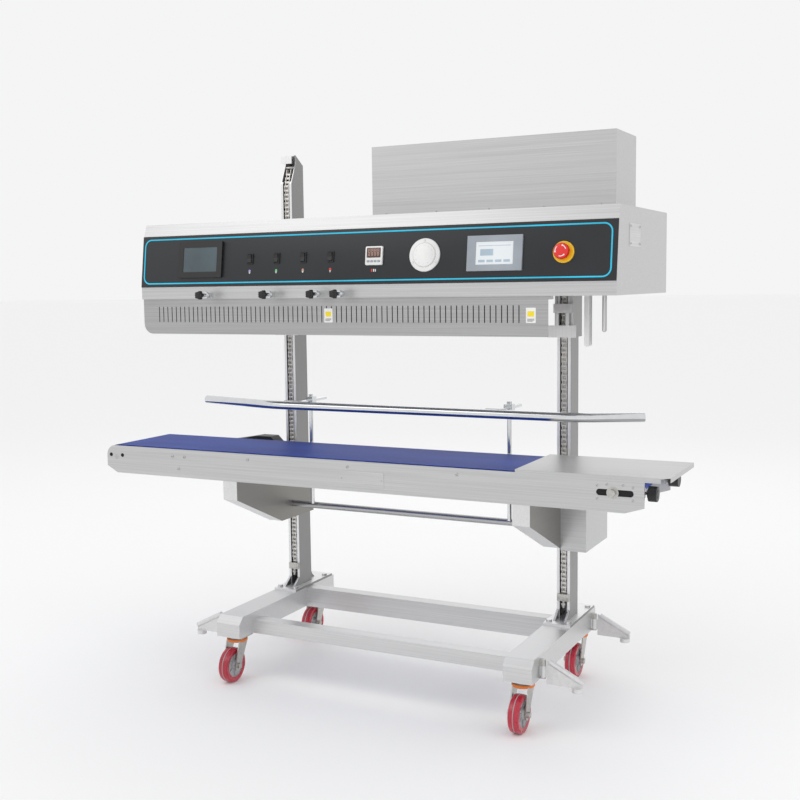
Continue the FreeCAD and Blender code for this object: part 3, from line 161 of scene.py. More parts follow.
def plastic(name, color, rough=0.45, grain=900.0, depth=0.00012, vary=0.12, coat=0.0):
    """Moulded plastic: fine grain, slight unevenness of tone and gloss."""
    mat, tree, shader = new_mat(name, color, rough, 0.0, 0.5, coat)
    cloud = noise(tree, (9, 9, 9), 3.0)
    lo = [c * (1 - vary) for c in color]
    hi = [min(1.0, c * (1 + vary)) for c in color]
    tree.links.new(ramp(tree, cloud, lo, hi), shader.inputs["Base Color"])
    fine = noise(tree, (grain, grain, grain), 2.0)
    to_rough(tree, shader, cloud, rough - 0.05, rough + 0.07)
    bump(tree, shader, fine, 0.25, depth)
    return mat


M["black"] = plastic("black_plastic", (0.012, 0.012, 0.013), 0.38)
M["black_matt"] = plastic("black_matt", (0.016, 0.016, 0.017), 0.6)
M["panel"] = plastic("panel_film", (0.012, 0.0145, 0.018), 0.42, 1400.0, 0.00006)
M["motor"] = plastic("motor_black", (0.010, 0.010, 0.012), 0.42, 500.0, 0.0003)
M["white"] = plastic("white_plastic", (0.80, 0.80, 0.79), 0.4)
M["grey"] = plastic("grey_plastic", (0.33, 0.36, 0.40), 0.4)
M["hub"] = plastic("hub_grey", (0.42, 0.42, 0.43), 0.42)
M["red"] = plastic("stop_red", (0.72, 0.012, 0.010), 0.28, coat=0.4)
M["yellow"] = plastic("stop_yellow", (0.90, 0.52, 0.01), 0.38)
M["orange"] = plastic("swivel_orange", (0.75, 0.20, 0.03), 0.45)
M["cyan"] = plastic("cyan_ink", (0.02, 0.55, 0.80), 0.4)
M["violet"] = plastic("ink_violet", (0.45, 0.35, 0.65), 0.4)
M["green"] = plastic("ink_green", (0.15, 0.55, 0.22), 0.4)
M["brown"] = plastic("ink_brown", (0.50, 0.26, 0.16), 0.4)
M["inkred"] = plastic("ink_red", (0.72, 0.05, 0.05), 0.4)
M["label"] = plastic("label_white", (0.86, 0.86, 0.84), 0.5)
M["labelyellow"] = plastic("label_yellow", (0.93, 0.72, 0.03), 0.5)
M["display"] = plastic("display_brown", (0.10, 0.055, 0.045), 0.2)
M["digits"] = plastic("display_digits", (0.62, 0.40, 0.34), 0.35)
M["glass"] = plastic("screen_glass", (0.055, 0.085, 0.10), 0.12, 60.0, 0.00002, 0.18, 0.5)
M["lit"] = plastic("screen_lit", (0.80, 0.84, 0.86), 0.22, 60.0, 0.00002, 0.03, 0.4)
M["lit_bar"] = plastic("screen_bar", (0.40, 0.50, 0.58), 0.25)
M["ptfe"] = plastic("ptfe_band", (0.24, 0.13, 0.06), 0.45)
# painted shade: a near-black material for sheets put in slots, vents and gaps where shade falls
M["dark"] = plastic("painted_gap_shade", (0.006, 0.006, 0.007), 0.8)

mat, tree, shader = new_mat("polyurethane_red", (0.42, 0.008, 0.03), 0.22, 0.0, 0.5, 0.5)
cloud = noise(tree, (14, 14, 14), 4.0)
tree.links.new(ramp(tree, cloud, (0.34, 0.004, 0.02), (0.52, 0.015, 0.045)),
               shader.inputs["Base Color"])
scuff = noise(tree, (220, 60, 60), 3.0)
to_rough(tree, shader, scuff, 0.16, 0.42)
M["pu"] = mat

mat, tree, shader = new_mat("belt_blue", (0.008, 0.045, 0.32), 0.6, 0.0, 0.25)
cloud = noise(tree, (3, 9, 9), 5.0)
tree.links.new(ramp(tree, cloud, (0.004, 0.030, 0.26), (0.010, 0.055, 0.38)),
               shader.inputs["Base Color"])
fine = noise(tree, (700, 700, 700), 2.0)
to_rough(tree, shader, fine, 0.45, 0.62)
bump(tree, shader, fine, 0.3, 0.0002)
M["belt"] = mat


# ------------------------------------------------------------ mesh helpers (metres)
def soften(obj, width, segments=2, angle=35):
    """Rounded edges on a piece."""
    mod = obj.modifiers.new("edge", "BEVEL")
    mod.width = width
    mod.segments = segments
    mod.limit_method = "ANGLE"
    mod.angle_limit = math.radians(angle)
    mod.harden_normals = False
    return obj


def shade(obj, angle=35):
    """Smooth shading that keeps real edges sharp."""
    mesh = obj.data
    bm = bmesh.new()
    bm.from_mesh(mesh)
    limit = math.radians(angle)
    for face in bm.faces:
        face.smooth = True
    for edge in bm.edges:
        edge.smooth = not (len(edge.link_faces) == 2 and edge.calc_face_angle() > limit)
    bm.to_mesh(mesh)
    bm.free()


class Build(object):
    """Collects geometry in several materials and makes one piece of it."""

    def __init__(self, name, body, slot, mats):
        self.name = name
        self.body = body
        self.slot = slot
        self.mats = mats
        self.bm = bmesh.new()
        self.mat = 0
        self.place = Matrix.Identity(4)

    def use(self, index):
        self.mat = index
        return self

    def take(self, verts, faces):
        made = [self.bm.verts.new(self.place @ Vector(v)) for v in verts]
        for f in faces:
            face = self.bm.faces.new([made[k] for k in f])
            face.material_index = self.mat

    def block(self, lo, hi, bevel=0.0):
        x0, y0, z0 = lo
        x1, y1, z1 = hi
        part = bmesh.new()
        bmesh.ops.create_cube(part, size=1.0)
        for v in part.verts:
            v.co = Vector((x0 + (v.co.x + 0.5) * (x1 - x0), y0 + (v.co.y + 0.5) * (y1 - y0),
                           z0 + (v.co.z + 0.5) * (z1 - z0)))
        if bevel:
            bmesh.ops.bevel(part, geom=list(part.edges), offset=bevel, segments=2,
                            affect="EDGES", profile=0.5)
        self.absorb(part)
        return self

    def absorb(self, part):
        part.verts.ensure_lookup_table()
        verts = [v.co.copy() for v in part.verts]
        for k, v in enumerate(part.verts):
            v.index = k
        faces = [[v.index for v in f.verts] for f in part.faces]
        self.take(verts, faces)
        part.free()

    def lathe(self, profile, origin, axis, segs=32):
        """Revolve (along, radius) pairs about an axis through origin."""
        axis = Vector(axis).normalized()
        side = axis.orthogonal().normalized()
        other = axis.cross(side)
        origin = Vector(origin)
        verts = []
        faces = []
        rings = []
        for along, rad in profile:
            if rad < 1e-7:
                verts.append(origin + axis * along)
                rings.append([len(verts) - 1])
                continue
            ring = []
            for k in range(segs):
                ang = 2 * math.pi * k / segs
                verts.append(origin + axis * along + side * rad * math.cos(ang)
                             + other * rad * math.sin(ang))
                ring.append(len(verts) - 1)
            rings.append(ring)
        for a, b in zip(rings, rings[1:]):
            for k in range(segs):
                n = (k + 1) % segs
                if len(a) == 1 and len(b) > 1:
                    faces.append([a[0], b[k], b[n]])
                elif len(b) == 1 and len(a) > 1:
                    faces.append([a[k], b[0], a[n]])
                elif len(a) > 1 and len(b) > 1:
                    faces.append([a[k], b[k], b[n], a[n]])
        self.take(verts, faces)
        return self

    def extrude(self, outline, origin, u, v, depth, bevel=0.0):
        """Closed outline in the (u, v) plane pushed along u x v by depth."""
        u = Vector(u)
        v = Vector(v)
        w = u.cross(v)
        part = bmesh.new()
        low = [part.verts.new(Vector(origin) + u * a + v * b) for a, b in outline]
        high = [part.verts.new(Vector(origin) + u * a + v * b + w * depth) for a, b in outline]
        part.faces.new(list(reversed(low)))
        top = part.faces.new(high)
        total = len(outline)
        for k in range(total):
            n = (k + 1) % total
            part.faces.new([low[k], low[n], high[n], high[k]])
        if bevel:
            edges = list(top.edges)
            bmesh.ops.bevel(part, geom=edges, offset=bevel, segments=2, affect="EDGES",
                            profile=0.5)
        self.absorb(part)
        return self

    def done(self, angle=35, replaced=()):
        bmesh.ops.recalc_face_normals(self.bm, faces=list(self.bm.faces))
        mesh = bpy.data.meshes.new(self.name)
        self.bm.to_mesh(mesh)
        self.bm.free()
        obj = bpy.data.objects.new(self.name, mesh)
        bpy.context.scene.collection.objects.link(obj)
        for mat in self.mats:
            mesh.materials.append(mat)
        shade(obj, angle)
        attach(obj, self.body)
        if replaced:
            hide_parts(*replaced)
        return obj


def paint(node, mat, bevel=0.0, angle=35):
    """Give a CAD node its finish."""
    obj = nodes[node]
    if obj.material_slots:
        for slot in obj.material_slots:
            slot.material = mat
    else:
        obj.data.materials.append(mat)
    if bevel:
        soften(obj, bevel, 2, angle)
    return obj


PLAIN = [
    ("base_frame", "frame", 0.0016), ("lift_columns", "steel_tall", 0.0006),
    ("base_brackets", "zinc", 0.0006), ("front_side_plate", "steel_light", 0.0),
    ("rear_side_plate", "steel_light", 0.0), ("slider_bed", "roller", 0.0),
    ("conveyor_belt", "belt", 0.0), ("infeed_tray", "steel_light", 0.0),
    ("support_arms", "arm", 0.0008), ("lift_drive_cover", "steel_light", 0.0012),
    ("clamp_blocks", "roller", 0.0008), ("head_shell", "steel", 0.0008),
    ("front_cover", "steel_cover", 0.0), ("top_housing", "steel_light", 0.0012),
    ("sealing_frame", "roller", 0.0), ("sealing_bands", "ptfe", 0.0),
    ("head_carriages", "steel_tall", 0.0006), ("infeed_guides", "steel_tall", 0.0),
    ("nose_roller", "roller", 0.0), ("tail_roller", "roller", 0.0),
    ("drive_roller", "black_matt", 0.0), ("conveyor_lift_shaft", "roller", 0.0),
    ("head_lift_shaft", "roller", 0.0), ("guard_posts", "chrome", 0.0006),
    ("left_screen", "black", 0.0012), ("right_screen", "grey", 0.0012),
    ("belt_drive_motor", "motor", 0.004), ("tension_knob_rear", "black", 0.002),
]
for name, key, width in PLAIN:
    paint(name, M[key], width)
for side in ("left", "right"):
    for row in ("front", "rear"):
        paint("stabilizer_%s_%s" % (side, row), M["bright"], 0.0008)
        paint("caster_fork_%s_%s" % (side, row), M["zinc"], 0.0007)
        paint("band_pulley_%s_%s" % (row, side), M["roller"])
for k in range(1, 5):
    paint("rocker_switch_%d" % k, M["black"], 0.0008)

# ------------------------------------------------------------ sloping panel
TILT = math.radians(7.4225)
SLOPE = 0.13028
FOOT_Y = -0.2577
FOOT_Z = 1.1437
SKIN = 0.002


def panel_at(x, z):
    """Frame on the panel's face: local x right, y inward, z up the panel."""
    y = FOOT_Y + (z - FOOT_Z) * SLOPE - SKIN
    return Matrix.Translation((x, y, z)) @ Matrix.Rotation(-TILT, 4, "X")


def rounded(w, h, r, steps=6):
    """Rounded rectangle outline about its centre."""
    pts = []
    for cx, cy, start in ((w / 2 - r, h / 2 - r, 0), (-w / 2 + r, h / 2 - r, 90),
                          (-w / 2 + r, -h / 2 + r, 180), (w / 2 - r, -h / 2 + r, 270)):
        for k in range(steps + 1):
            ang = math.radians(start + 90.0 * k / steps)
            pts.append((cx + r * math.cos(ang), cy + r * math.sin(ang)))
    return pts


def panel_plate(build, w, h, r, out, thick, bevel=0.0, cx=0.0, cz=0.0):
    """Flat plate standing off the panel: 'out' is its face, counted outward."""
    pts = [(a + cx, b + cz) for a, b in rounded(w, h, r)]
    build.extrude(pts, (0, -(out - thick), 0), (1, 0, 0), (0, 0, 1), thick, bevel)


lo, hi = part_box("control_panel")
face = Build("panel_face", "head", "panel_black", [M["panel"]])
rise = 0.1443
mid_z = FOOT_Z + rise / 2
face.place = panel_at((lo[0] + hi[0]) / 2, mid_z)
up = rise / math.cos(TILT)
panel_plate(face, hi[0] - lo[0], up, 0.001, 0.0, 0.0021, 0.0003)
face.done(35, ("control_panel",))


def ring_band(build, w, h, r, width, out, steps=8):
    """Thin outline band with rounded corners, slightly raised."""
    outer = rounded(w, h, r, steps)
    inner = rounded(w - 2 * width, h - 2 * width, r - width, steps)
    total = len(outer)
    verts = []
    for ring, depth in ((outer, 0.0), (outer, out), (inner, out), (inner, 0.0)):
        verts += [(a, -depth, b) for a, b in ring]
    faces = []
    for level in range(3):
        for k in range(total):
            n = (k + 1) % total
            faces.append([level * total + k, level * total + n, (level + 1) * total + n,
                          (level + 1) * total + k])
    build.take(verts, faces)


line = Build("panel_outline", "head", "panel_black", [M["cyan"]])
line.place = panel_at(0.036, 1.2158)
ring_band(line, 1.371, 0.129, 0.022, 0.0036, 0.0005)
line.done(60)

# stop ring, switch frames, marks
ring = Build("stop_ring", "head", "panel_black", [M["yellow"]])
ring.place = panel_at(0.6042, 1.2126)
ring.lathe([(0.0, 0.026), (-0.0035, 0.026), (-0.005, 0.0245), (-0.005, 0.0125), (0.0, 0.012)],
           (0, 0, 0), (0, 1, 0), 48)
ring.done()

ROCKERS = (-0.2855, -0.1999, -0.1161, -0.0321)
frames = Build("switch_frames", "head", "panel_black", [M["black_matt"]])
for x in ROCKERS:
    frames.place = panel_at(x, 1.217)
    outer = rounded(0.0195, 0.0295, 0.002, 4)
    inner = rounded(0.0134, 0.0242, 0.0012, 4)
    total = len(outer)
    verts = []
    for loop, depth in ((outer, 0.0), (outer, 0.0024), (inner, 0.003), (inner, 0.0004)):
        verts += [(a, -depth, b) for a, b in loop]
    faces = []
    for level in range(3):
        for k in range(total):
            n = (k + 1) % total
            faces.append([level * total + k, level * total + n, (level + 1) * total + n,
                          (level + 1) * total + k])
    frames.take(verts, faces)
frames.done(40)

marks = Build("panel_marks", "head", "panel_black",
              [M["label"], M["violet"], M["green"], M["brown"], M["inkred"]])
for x, index in zip(ROCKERS, (1, 2, 3, 4)):
    marks.place = panel_at(x, 1.1835)
    marks.use(0)
    for k in range(3):
        panel_plate(marks, 0.0058 - 0.0014 * k, 0.0011, 0.0004, 0.0004, 0.0004, 0.0, 0.0,
                    -0.0028 - 0.0017 * k)
    marks.use(index)
    marks.lathe([(0.0, 0.0034), (-0.0004, 0.0034), (-0.0004, 0.0)], (0, 0, 0.001), (0, 1, 0), 16)
marks.use(4)
marks.place = panel_at(0.0965, 1.179)
panel_plate(marks, 0.0035, 0.007, 0.001, 0.0004, 0.0004, 0.0, -0.005)
marks.use(0)
panel_plate(marks, 0.003, 0.007, 0.001, 0.0004, 0.0004, 0.0, 0.001)
panel_plate(marks, 0.002, 0.007, 0.0008, 0.0004, 0.0004, 0.0, 0.006)
marks.done()

# screens
for tag, x, z, w, h, mat in (("left", -0.450, 1.218, 0.114, 0.069, "glass"),
                             ("right", 0.4298, 1.2145, 0.098, 0.057, "lit")):
    pane = Build(tag + "_screen_pane", "head", "screen_grey", [M[mat], M["lit_bar"], M["black"]])
    pane.place = panel_at(x, z)
    panel_plate(pane, w - 0.0006, h - 0.0006, 0.001, 0.0049, 0.0003)
    if tag == "right":
        pane.use(1)
        panel_plate(pane, w * 0.86, 0.0012, 0.0004, 0.0051, 0.0003, 0.0, 0.0, h * 0.32)
        for k in range(4):
            panel_plate(pane, 0.017, 0.006, 0.001, 0.0051, 0.0003, 0.0, (k - 1.5) * 0.022,
                        -h * 0.34)
        panel_plate(pane, 0.034, 0.016, 0.001, 0.0051, 0.0003, 0.0, -0.02, 0.002)
    pane.done()
    rim = Build(tag + "_screen_rim", "head", "screen_grey", [M["black" if tag == "left" else
                                                               "grey"]])
    rim.place = panel_at(x, z)
    if tag == "left":
        rim.lathe([(-0.0061, 0.0012), (-0.0066, 0.0009), (-0.0066, 0.0)],
                  (0.0, 0, -0.0425), (0, 1, 0), 12)
    else:
        rim.lathe([(-0.0061, 0.0012), (-0.0066, 0.0009), (-0.0066, 0.0)],
                  (0.058, 0, -0.036), (0, 1, 0), 12)
    rim.done()

# temperature controller
tc = Build("temperature_body", "head", "white_plastic",
           [M["white"], M["display"], M["digits"], M["grey"]])
tc.place = panel_at(0.0985, 1.216)
panel_plate(tc, 0.048, 0.048, 0.0025, 0.0062, 0.0062, 0.001)
tc.use(1)
panel_plate(tc, 0.040, 0.0255, 0.0015, 0.0068, 0.001, 0.0002, 0.0, 0.0075)
tc.use(2)
for row, size in ((0.0125, 0.0042), (0.0035, 0.0034)):
    for k in range(4):
        x0 = (k - 1.5) * 0.0085
        for dz in (-size, 0.0, size):
            panel_plate(tc, size * 1.1, 0.0008, 0.0003, 0.007, 0.0003, 0.0, x0, row + dz)
        for dx in (-0.62, 0.62):
            for dz in (-0.5, 0.5):
                panel_plate(tc, 0.0008, size * 0.8, 0.0003, 0.007, 0.0003, 0.0,
                            x0 + dx * size, row + dz * size)
tc.use(3)
for k in range(4):
    panel_plate(tc, 0.0078, 0.0052, 0.001, 0.0069, 0.001, 0.0003, (k - 1.5) * 0.0102, -0.0145)
tc.done(35, ("temperature_controller",))

# gauge
gauge = Build("gauge_body", "head", "white_plastic", [M["white"], M["chrome"], M["grey"]])
gauge.place = panel_at(0.2415, 1.2145)
gauge.lathe([(0.0, 0.042), (-0.0035, 0.042), (-0.005, 0.0405), (-0.005, 0.0312),
             (-0.0038, 0.0307), (-0.0038, 0.0302), (-0.0068, 0.0298), (-0.008, 0.0285),
             (-0.0083, 0.012), (-0.0084, 0.0)], (0, 0, 0), (0, 1, 0), 72)
gauge.use(1)
for deg in (90, 210, 330):
    a = math.radians(deg)
    gauge.lathe([(-0.0049, 0.0026), (-0.0062, 0.0024), (-0.0067, 0.0012), (-0.0062, 0.0)],
                (0.036 * math.cos(a), 0, 0.036 * math.sin(a)), (0, 1, 0), 14)
gauge.use(2)
for k in range(12):
    a = 2 * math.pi * k / 12
    gauge.lathe([(-0.0083, 0.0006), (-0.0086, 0.0005), (-0.0086, 0.0)],
                (0.0235 * math.cos(a), 0, 0.0235 * math.sin(a)), (0, 1, 0), 8)
gauge.done(35, ("pressure_gauge",))

# stop button
stop = Build("stop_cap", "emergency_stop_button", "stop_red", [M["red"], M["label"], M["black"]])
stop.place = panel_at(0.6042, 1.2126)
stop.lathe([(-0.0066, 0.0), (-0.0066, 0.011), (-0.0125, 0.011), (-0.0128, 0.0188),
            (-0.0145, 0.0195), (-0.0205, 0.0193), (-0.0242, 0.0180), (-0.0262, 0.0145),
            (-0.0265, 0.010), (-0.0265, 0.0)], (0, 0, 0), (0, 1, 0), 56)
stop.use(1)
for k in range(3):
    verts = []
    faces = []
    for j in range(9):
        a = math.radians(120 * k + 15 + 8.0 * j)
        wide = 0.0009 if j < 7 else 0.0009 * (9 - j) * 1.1
        for rad in (0.0132 - wide, 0.0132 + wide):
            verts.append((rad * math.cos(a), -0.02668, rad * math.sin(a)))
    for j in range(8):
        faces.append([2 * j, 2 * j + 1, 2 * j + 3, 2 * j + 2])
    stop.take(verts, faces)
stop.done(40, ("emergency_stop_button",))


# ------------------------------------------------------------ knobs
def lobed(rad, ring, lobe, count, steps=8):
    """Outline of a lobed hand knob."""
    pts = []
    total = count * steps
    for k in range(total):
        a = 2 * math.pi * k / total
        swell = 0.5 + 0.5 * math.cos(a * count)
        r = rad + (ring + lobe - rad) * swell ** 0.7
        pts.append((r * math.cos(a), r * math.sin(a)))
    return pts


for k, x in enumerate((-0.4215, -0.2135, -0.0665, 0.0045), 1):
    body = "pressure_knob_%d" % k
    knob = Build("pressure_knob_%d_grip" % k, body, "black_plastic", [M["black"], M["chrome"]])
    knob.extrude(lobed(0.0082, 0.0075, 0.0048, 5), (x, -0.297, 1.120), (1, 0, 0), (0, 0, 1),
                 0.0125, 0.0018)
    knob.lathe([(-0.311, 0.0), (-0.311, 0.0055), (-0.3095, 0.0062), (-0.2955, 0.0072),
                (-0.2925, 0.0068)], (x, 0, 1.120), (0, 1, 0), 24)
    knob.use(1)
    prof = [(-0.2945, 0.0062), (-0.290, 0.0062), (-0.290, 0.0048)]
    for j in range(5):
        base = -0.2885 + j * 0.0030
        prof += [(base, 0.0050), (base + 0.0015, 0.0044)]
    prof += [(-0.2735, 0.0050), (-0.2735, 0.0090), (-0.2725, 0.0096), (-0.2672, 0.0096),
             (-0.2662, 0.0090), (-0.2662, 0.0064), (-0.2640, 0.0064), (-0.2640, 0.0085),
             (-0.2582, 0.0085), (-0.2582, 0.0)]
    knob.lathe(prof, (x, 0, 1.120), (0, 1, 0), 28)
    knob.done(35, (body,))

knurl = []
for k in range(72):
    a = 2 * math.pi * k / 72
    r = 0.0187 if k % 3 else 0.0173
    knurl.append((r * math.cos(a), r * math.sin(a)))
tension = Build("tension_grip", "tension_knob_front", "black_plastic", [M["black"], M["roller"]])
tension.extrude(knurl, (0.797, -0.188, 0.635), (0, 1, 0), (0, 0, 1), 0.021, 0.0015)
tension.lathe([(0.7945, 0.0), (0.7945, 0.012), (0.797, 0.0125), (0.797, 0.0)],
              (0, -0.188, 0.635), (1, 0, 0), 24)
tension.lathe([(0.818, 0.011), (0.819, 0.010), (0.819, 0.0)], (0, -0.188, 0.635), (1, 0, 0), 24)
tension.use(1)
prof = [(0.756, 0.0), (0.756, 0.0034)]
x = 0.757
while x < 0.7935:
    prof += [(x, 0.0040), (x + 0.0008, 0.0034)]
    x += 0.0016
tension.lathe(prof + [(0.7945, 0.004)], (0, -0.188, 0.635), (1, 0, 0), 16)
tension.done(30, ("tension_knob_front",))

# ------------------------------------------------------------ chains
PITCH = 0.0127
COLS = (-0.4031, 0.4801)
path = []
z = 0.2765
while z < 1.450:
    path.append((0.1396, z))
    z += PITCH
start = path[-1]
slant = Vector((0.0184, 0.060)).normalized()
k = 1
while start[1] + slant.y * PITCH * k < 1.500:
    path.append((start[0] + slant.x * PITCH * k, start[1] + slant.y * PITCH * k))
    k += 1


def plate_outline(step):
    """Waisted link plate, along then across."""
    pts = []
    for centre, first in ((step, -90), (0.0, 90)):
        for j in range(7):
            a = math.radians(first + 30 * j)
            pts.append((centre + 0.0050 * math.cos(a), 0.0054 * math.sin(a)))
        if first < 0:
            pts.append((step / 2, 0.0040))
        else:
            pts.append((step / 2, -0.0040))
    return pts


links = Build("chain_links", "stand", "zinc", [M["chain"], M["zinc"]])
for cx in COLS:
    for k, (y, z) in enumerate(path[:-1]):
        ny, nz = path[k + 1]
        along = Vector((0, ny - y, nz - z)).normalized()
        across = Vector((1, 0, 0)).cross(along)
        inner = k % 2 == 0
        for side in (-1, 1):
            off = 0.0046 if inner else 0.0063
            x0 = cx + side * off - (0.0 if side > 0 else 0.0015)
            links.extrude(plate_outline(PITCH), (x0, y, z), along, across * -1, -0.0015)
        links.lathe([(-0.0043, 0.0023), (-0.0043, 0.0042), (0.0043, 0.0042), (0.0043, 0.0023)],
                    (cx, y, z), (1, 0, 0), 12)
        links.lathe([(-0.0084, 0.0), (-0.0084, 0.0017), (0.0084, 0.0017), (0.0084, 0.0)],
                    (cx, y, z), (1, 0, 0), 8)
    links.use(1)
    links.block((cx - 0.017, 0.126, 0.252), (cx + 0.017, 0.1322, 0.272), 0.0008)
    links.block((cx - 0.010, 0.1322, 0.252), (cx + 0.010, 0.1435, 0.272), 0.0006)
    links.lathe([(0.232, 0.0), (0.232, 0.0036), (0.2335, 0.004), (0.2405, 0.004),
                 (0.2405, 0.0068), (0.2460, 0.0068), (0.2460, 0.004), (0.252, 0.004)],
                (cx, 0.1328, 0), (0, 0, 1), 12)
    links.lathe([(-0.016, 0.0), (-0.016, 0.0048), (0.016, 0.0048), (0.016, 0.0)],
                (cx, 0.163, 1.503), (1, 0, 0), 16)
    links.block((cx - 0.0085, 0.1425, 0.272), (cx + 0.0085, 0.1436, 1.440))
    links.use(0)
links.done(35, ("lift_chains",))

# ------------------------------------------------------------ casters
for side, cx in (("left", -0.4031), ("right", 0.4801)):
    for row, cy in (("front", -0.193), ("rear", 0.266)):
        tag = side + "_" + row
        body = "caster_wheel_" + tag
        ay = cy - 0.030
        wheel = Build(body + "_tyre", body, "pu_red", [M["pu"], M["hub"], M["zinc"]])
        wheel.lathe([(-0.0135, 0.034), (-0.0145, 0.041), (-0.0150, 0.0455), (-0.0130, 0.0485),
                     (-0.0075, 0.0500), (-0.0012, 0.0500)], (cx, ay, 0.050), (1, 0, 0), 64)
        wheel.lathe([(0.0012, 0.0500), (0.0075, 0.0500), (0.0130, 0.0485), (0.0150, 0.0455),
                     (0.0145, 0.041), (0.0135, 0.034)], (cx, ay, 0.050), (1, 0, 0), 64)
        wheel.use(1)
        wheel.lathe([(-0.0012, 0.0500), (-0.0008, 0.0492), (0.0008, 0.0492), (0.0012, 0.0500)],
                    (cx, ay, 0.050), (1, 0, 0), 64)
        for sgn in (-1, 1):
            wheel.lathe([(sgn * 0.0135, 0.034), (sgn * 0.0105, 0.0335), (sgn * 0.0085, 0.031),
                         (sgn * 0.0085, 0.016), (sgn * 0.0150, 0.0145), (sgn * 0.0180, 0.0135),
                         (sgn * 0.0188, 0.0120), (sgn * 0.0188, 0.0055)],
                        (cx, ay, 0.050), (1, 0, 0), 48)
            for j in range(6):
                a = 2 * math.pi * j / 6
                wheel.place = (Matrix.Translation((cx, ay, 0.050))
                               @ Matrix.Rotation(a, 4, "X"))
                wheel.block((sgn * 0.0080 - 0.0001, -0.0018, 0.0140),
                            (sgn * 0.0125 + 0.0001, 0.0018, 0.0325), 0.0)
            wheel.place = Matrix.Identity(4)
        wheel.done(35, (body,))
        swivel = Build("caster_swivel_" + tag, "caster_fork_" + tag, "zinc",
                       [M["orange"], M["zinc"]])
        swivel.lathe([(0.1150, 0.0272), (0.1145, 0.0290), (0.1155, 0.0300), (0.1215, 0.0300),
                      (0.1228, 0.0290), (0.1234, 0.0272)], (cx, cy, 0), (0, 0, 1), 48)
        swivel.done()

# ------------------------------------------------------------ guard rail
curve = bpy.data.curves.new("guard_tube", "CURVE")
curve.dimensions = "3D"
curve.bevel_depth = 0.0125
curve.bevel_resolution = 8
curve.use_fill_caps = True
spline = curve.splines.new("NURBS")
RAIL = [(-0.641, 0.024), (-0.480, -0.0163), (-0.361, -0.046), (-0.280, -0.046),
        (0.111, -0.046), (0.500, -0.046), (0.583, -0.046), (0.660, -0.0096), (0.731, 0.024)]
spline.points.add(len(RAIL) - 1)
for point, (x, y) in zip(spline.points, RAIL):
    point.co = (x, y, 0.793, 1)
spline.order_u = 3
spline.use_endpoint_u = True
spline.resolution_u = 12
tube = bpy.data.objects.new("guard_tube", curve)
bpy.context.scene.collection.objects.link(tube)
curve.materials.append(M["chrome"])
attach(tube, "guard_rail")
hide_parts("guard_rail")
POSTS = (-0.2955, 0.3425)
saddle = Build("guard_saddles", "guard_rail", "chrome", [M["roller"], M["chrome"], M["black"]])
for x in POSTS:
    saddle.use(0)
    saddle.block((x - 0.0275, -0.0355, 0.780), (x + 0.0275, -0.0240, 0.806), 0.0012)
    saddle.use(1)
    saddle.lathe([(-0.0245, 0.0), (-0.0245, 0.005), (0.163, 0.005), (0.164, 0.0042),
                  (0.164, 0.0)], (x, 0, 0.796), (0, 1, 0), 20)
    saddle.lathe([(-0.0242, 0.0), (-0.0242, 0.0085), (-0.0190, 0.0085), (-0.0182, 0.0075),
                  (-0.0182, 0.0)], (x, 0, 0.796), (0, 1, 0), 6)
saddle.done()

# ------------------------------------------------------------ screws, plates and labels
FRONT = -0.211


def screw(build, at, axis, rad=0.0045, high=0.0024):
    """Round-headed screw with a socket."""
    build.lathe([(0.0, rad), (high * 0.6, rad * 0.92), (high, rad * 0.6), (high, rad * 0.42),
                 (high * 0.45, rad * 0.40), (high * 0.45, 0.0)], at, axis, 20)


trim = Build("side_plate_screws", "conveyor", "stainless", [M["roller"], M["dark"], M["zinc"]])
for x, z in ((-0.6035, 0.648), (-0.5605, 0.648), (-0.5825, 0.612), (-0.3385, 0.653),
             (-0.0155, 0.653), (0.3065, 0.653)):
    screw(trim, (x, FRONT, z), (0, -1, 0))
for x, z in ((0.676, 0.651), (0.676, 0.619), (0.764, 0.651), (0.764, 0.619), (0.700, 0.655),
             (0.740, 0.655)):
    screw(trim, (x, FRONT, z), (0, -1, 0), 0.0032, 0.0018)
# painted shadow: dark discs at the two left-end bolts
for x in (-0.8345, -0.7915):
    trim.use(1)
    screw(trim, (x, FRONT, 0.641), (0, -1, 0), 0.0058, 0.0016)
# painted shade: a dark slot shape on the side plate stands for the shade inside the tension slot
trim.use(1)
slot_line = rounded(0.0900, 0.0155, 0.0076, 8)
trim.extrude([(a + 0.720, b + 0.635) for a, b in slot_line], (0, -0.2094, 0), (1, 0, 0),
             (0, 0, 1), 0.0004)
trim.use(2)
NUT = (0.7145, FRONT, 0.635)
trim.lathe([(0.0, 0.0130), (0.0016, 0.0130), (0.0016, 0.0095), (0.0085, 0.0090),
            (0.0085, 0.0)], NUT, (0, -1, 0), 6)
trim.lathe([(0.0, 0.0150), (0.0010, 0.0150), (0.0010, 0.0)], NUT, (0, -1, 0), 28)
trim.done()

plate = Build("blank_nameplate", "conveyor", "stainless", [M["steel"], M["roller"]])
name_line = [(a + 0.0275, b + 0.6215) for a, b in rounded(0.136, 0.043, 0.004)]
plate.extrude(name_line, (0, FRONT, 0), (1, 0, 0), (0, 0, 1), 0.0008, 0.0003)
for dx in (-0.061, 0.061):
    plate.use(1)
    plate.lathe([(0.0, 0.0022), (0.0016, 0.0018), (0.0018, 0.0)], (0.0275 + dx, FRONT, 0.6215),
                (0, -1, 0), 12)
plate.done()

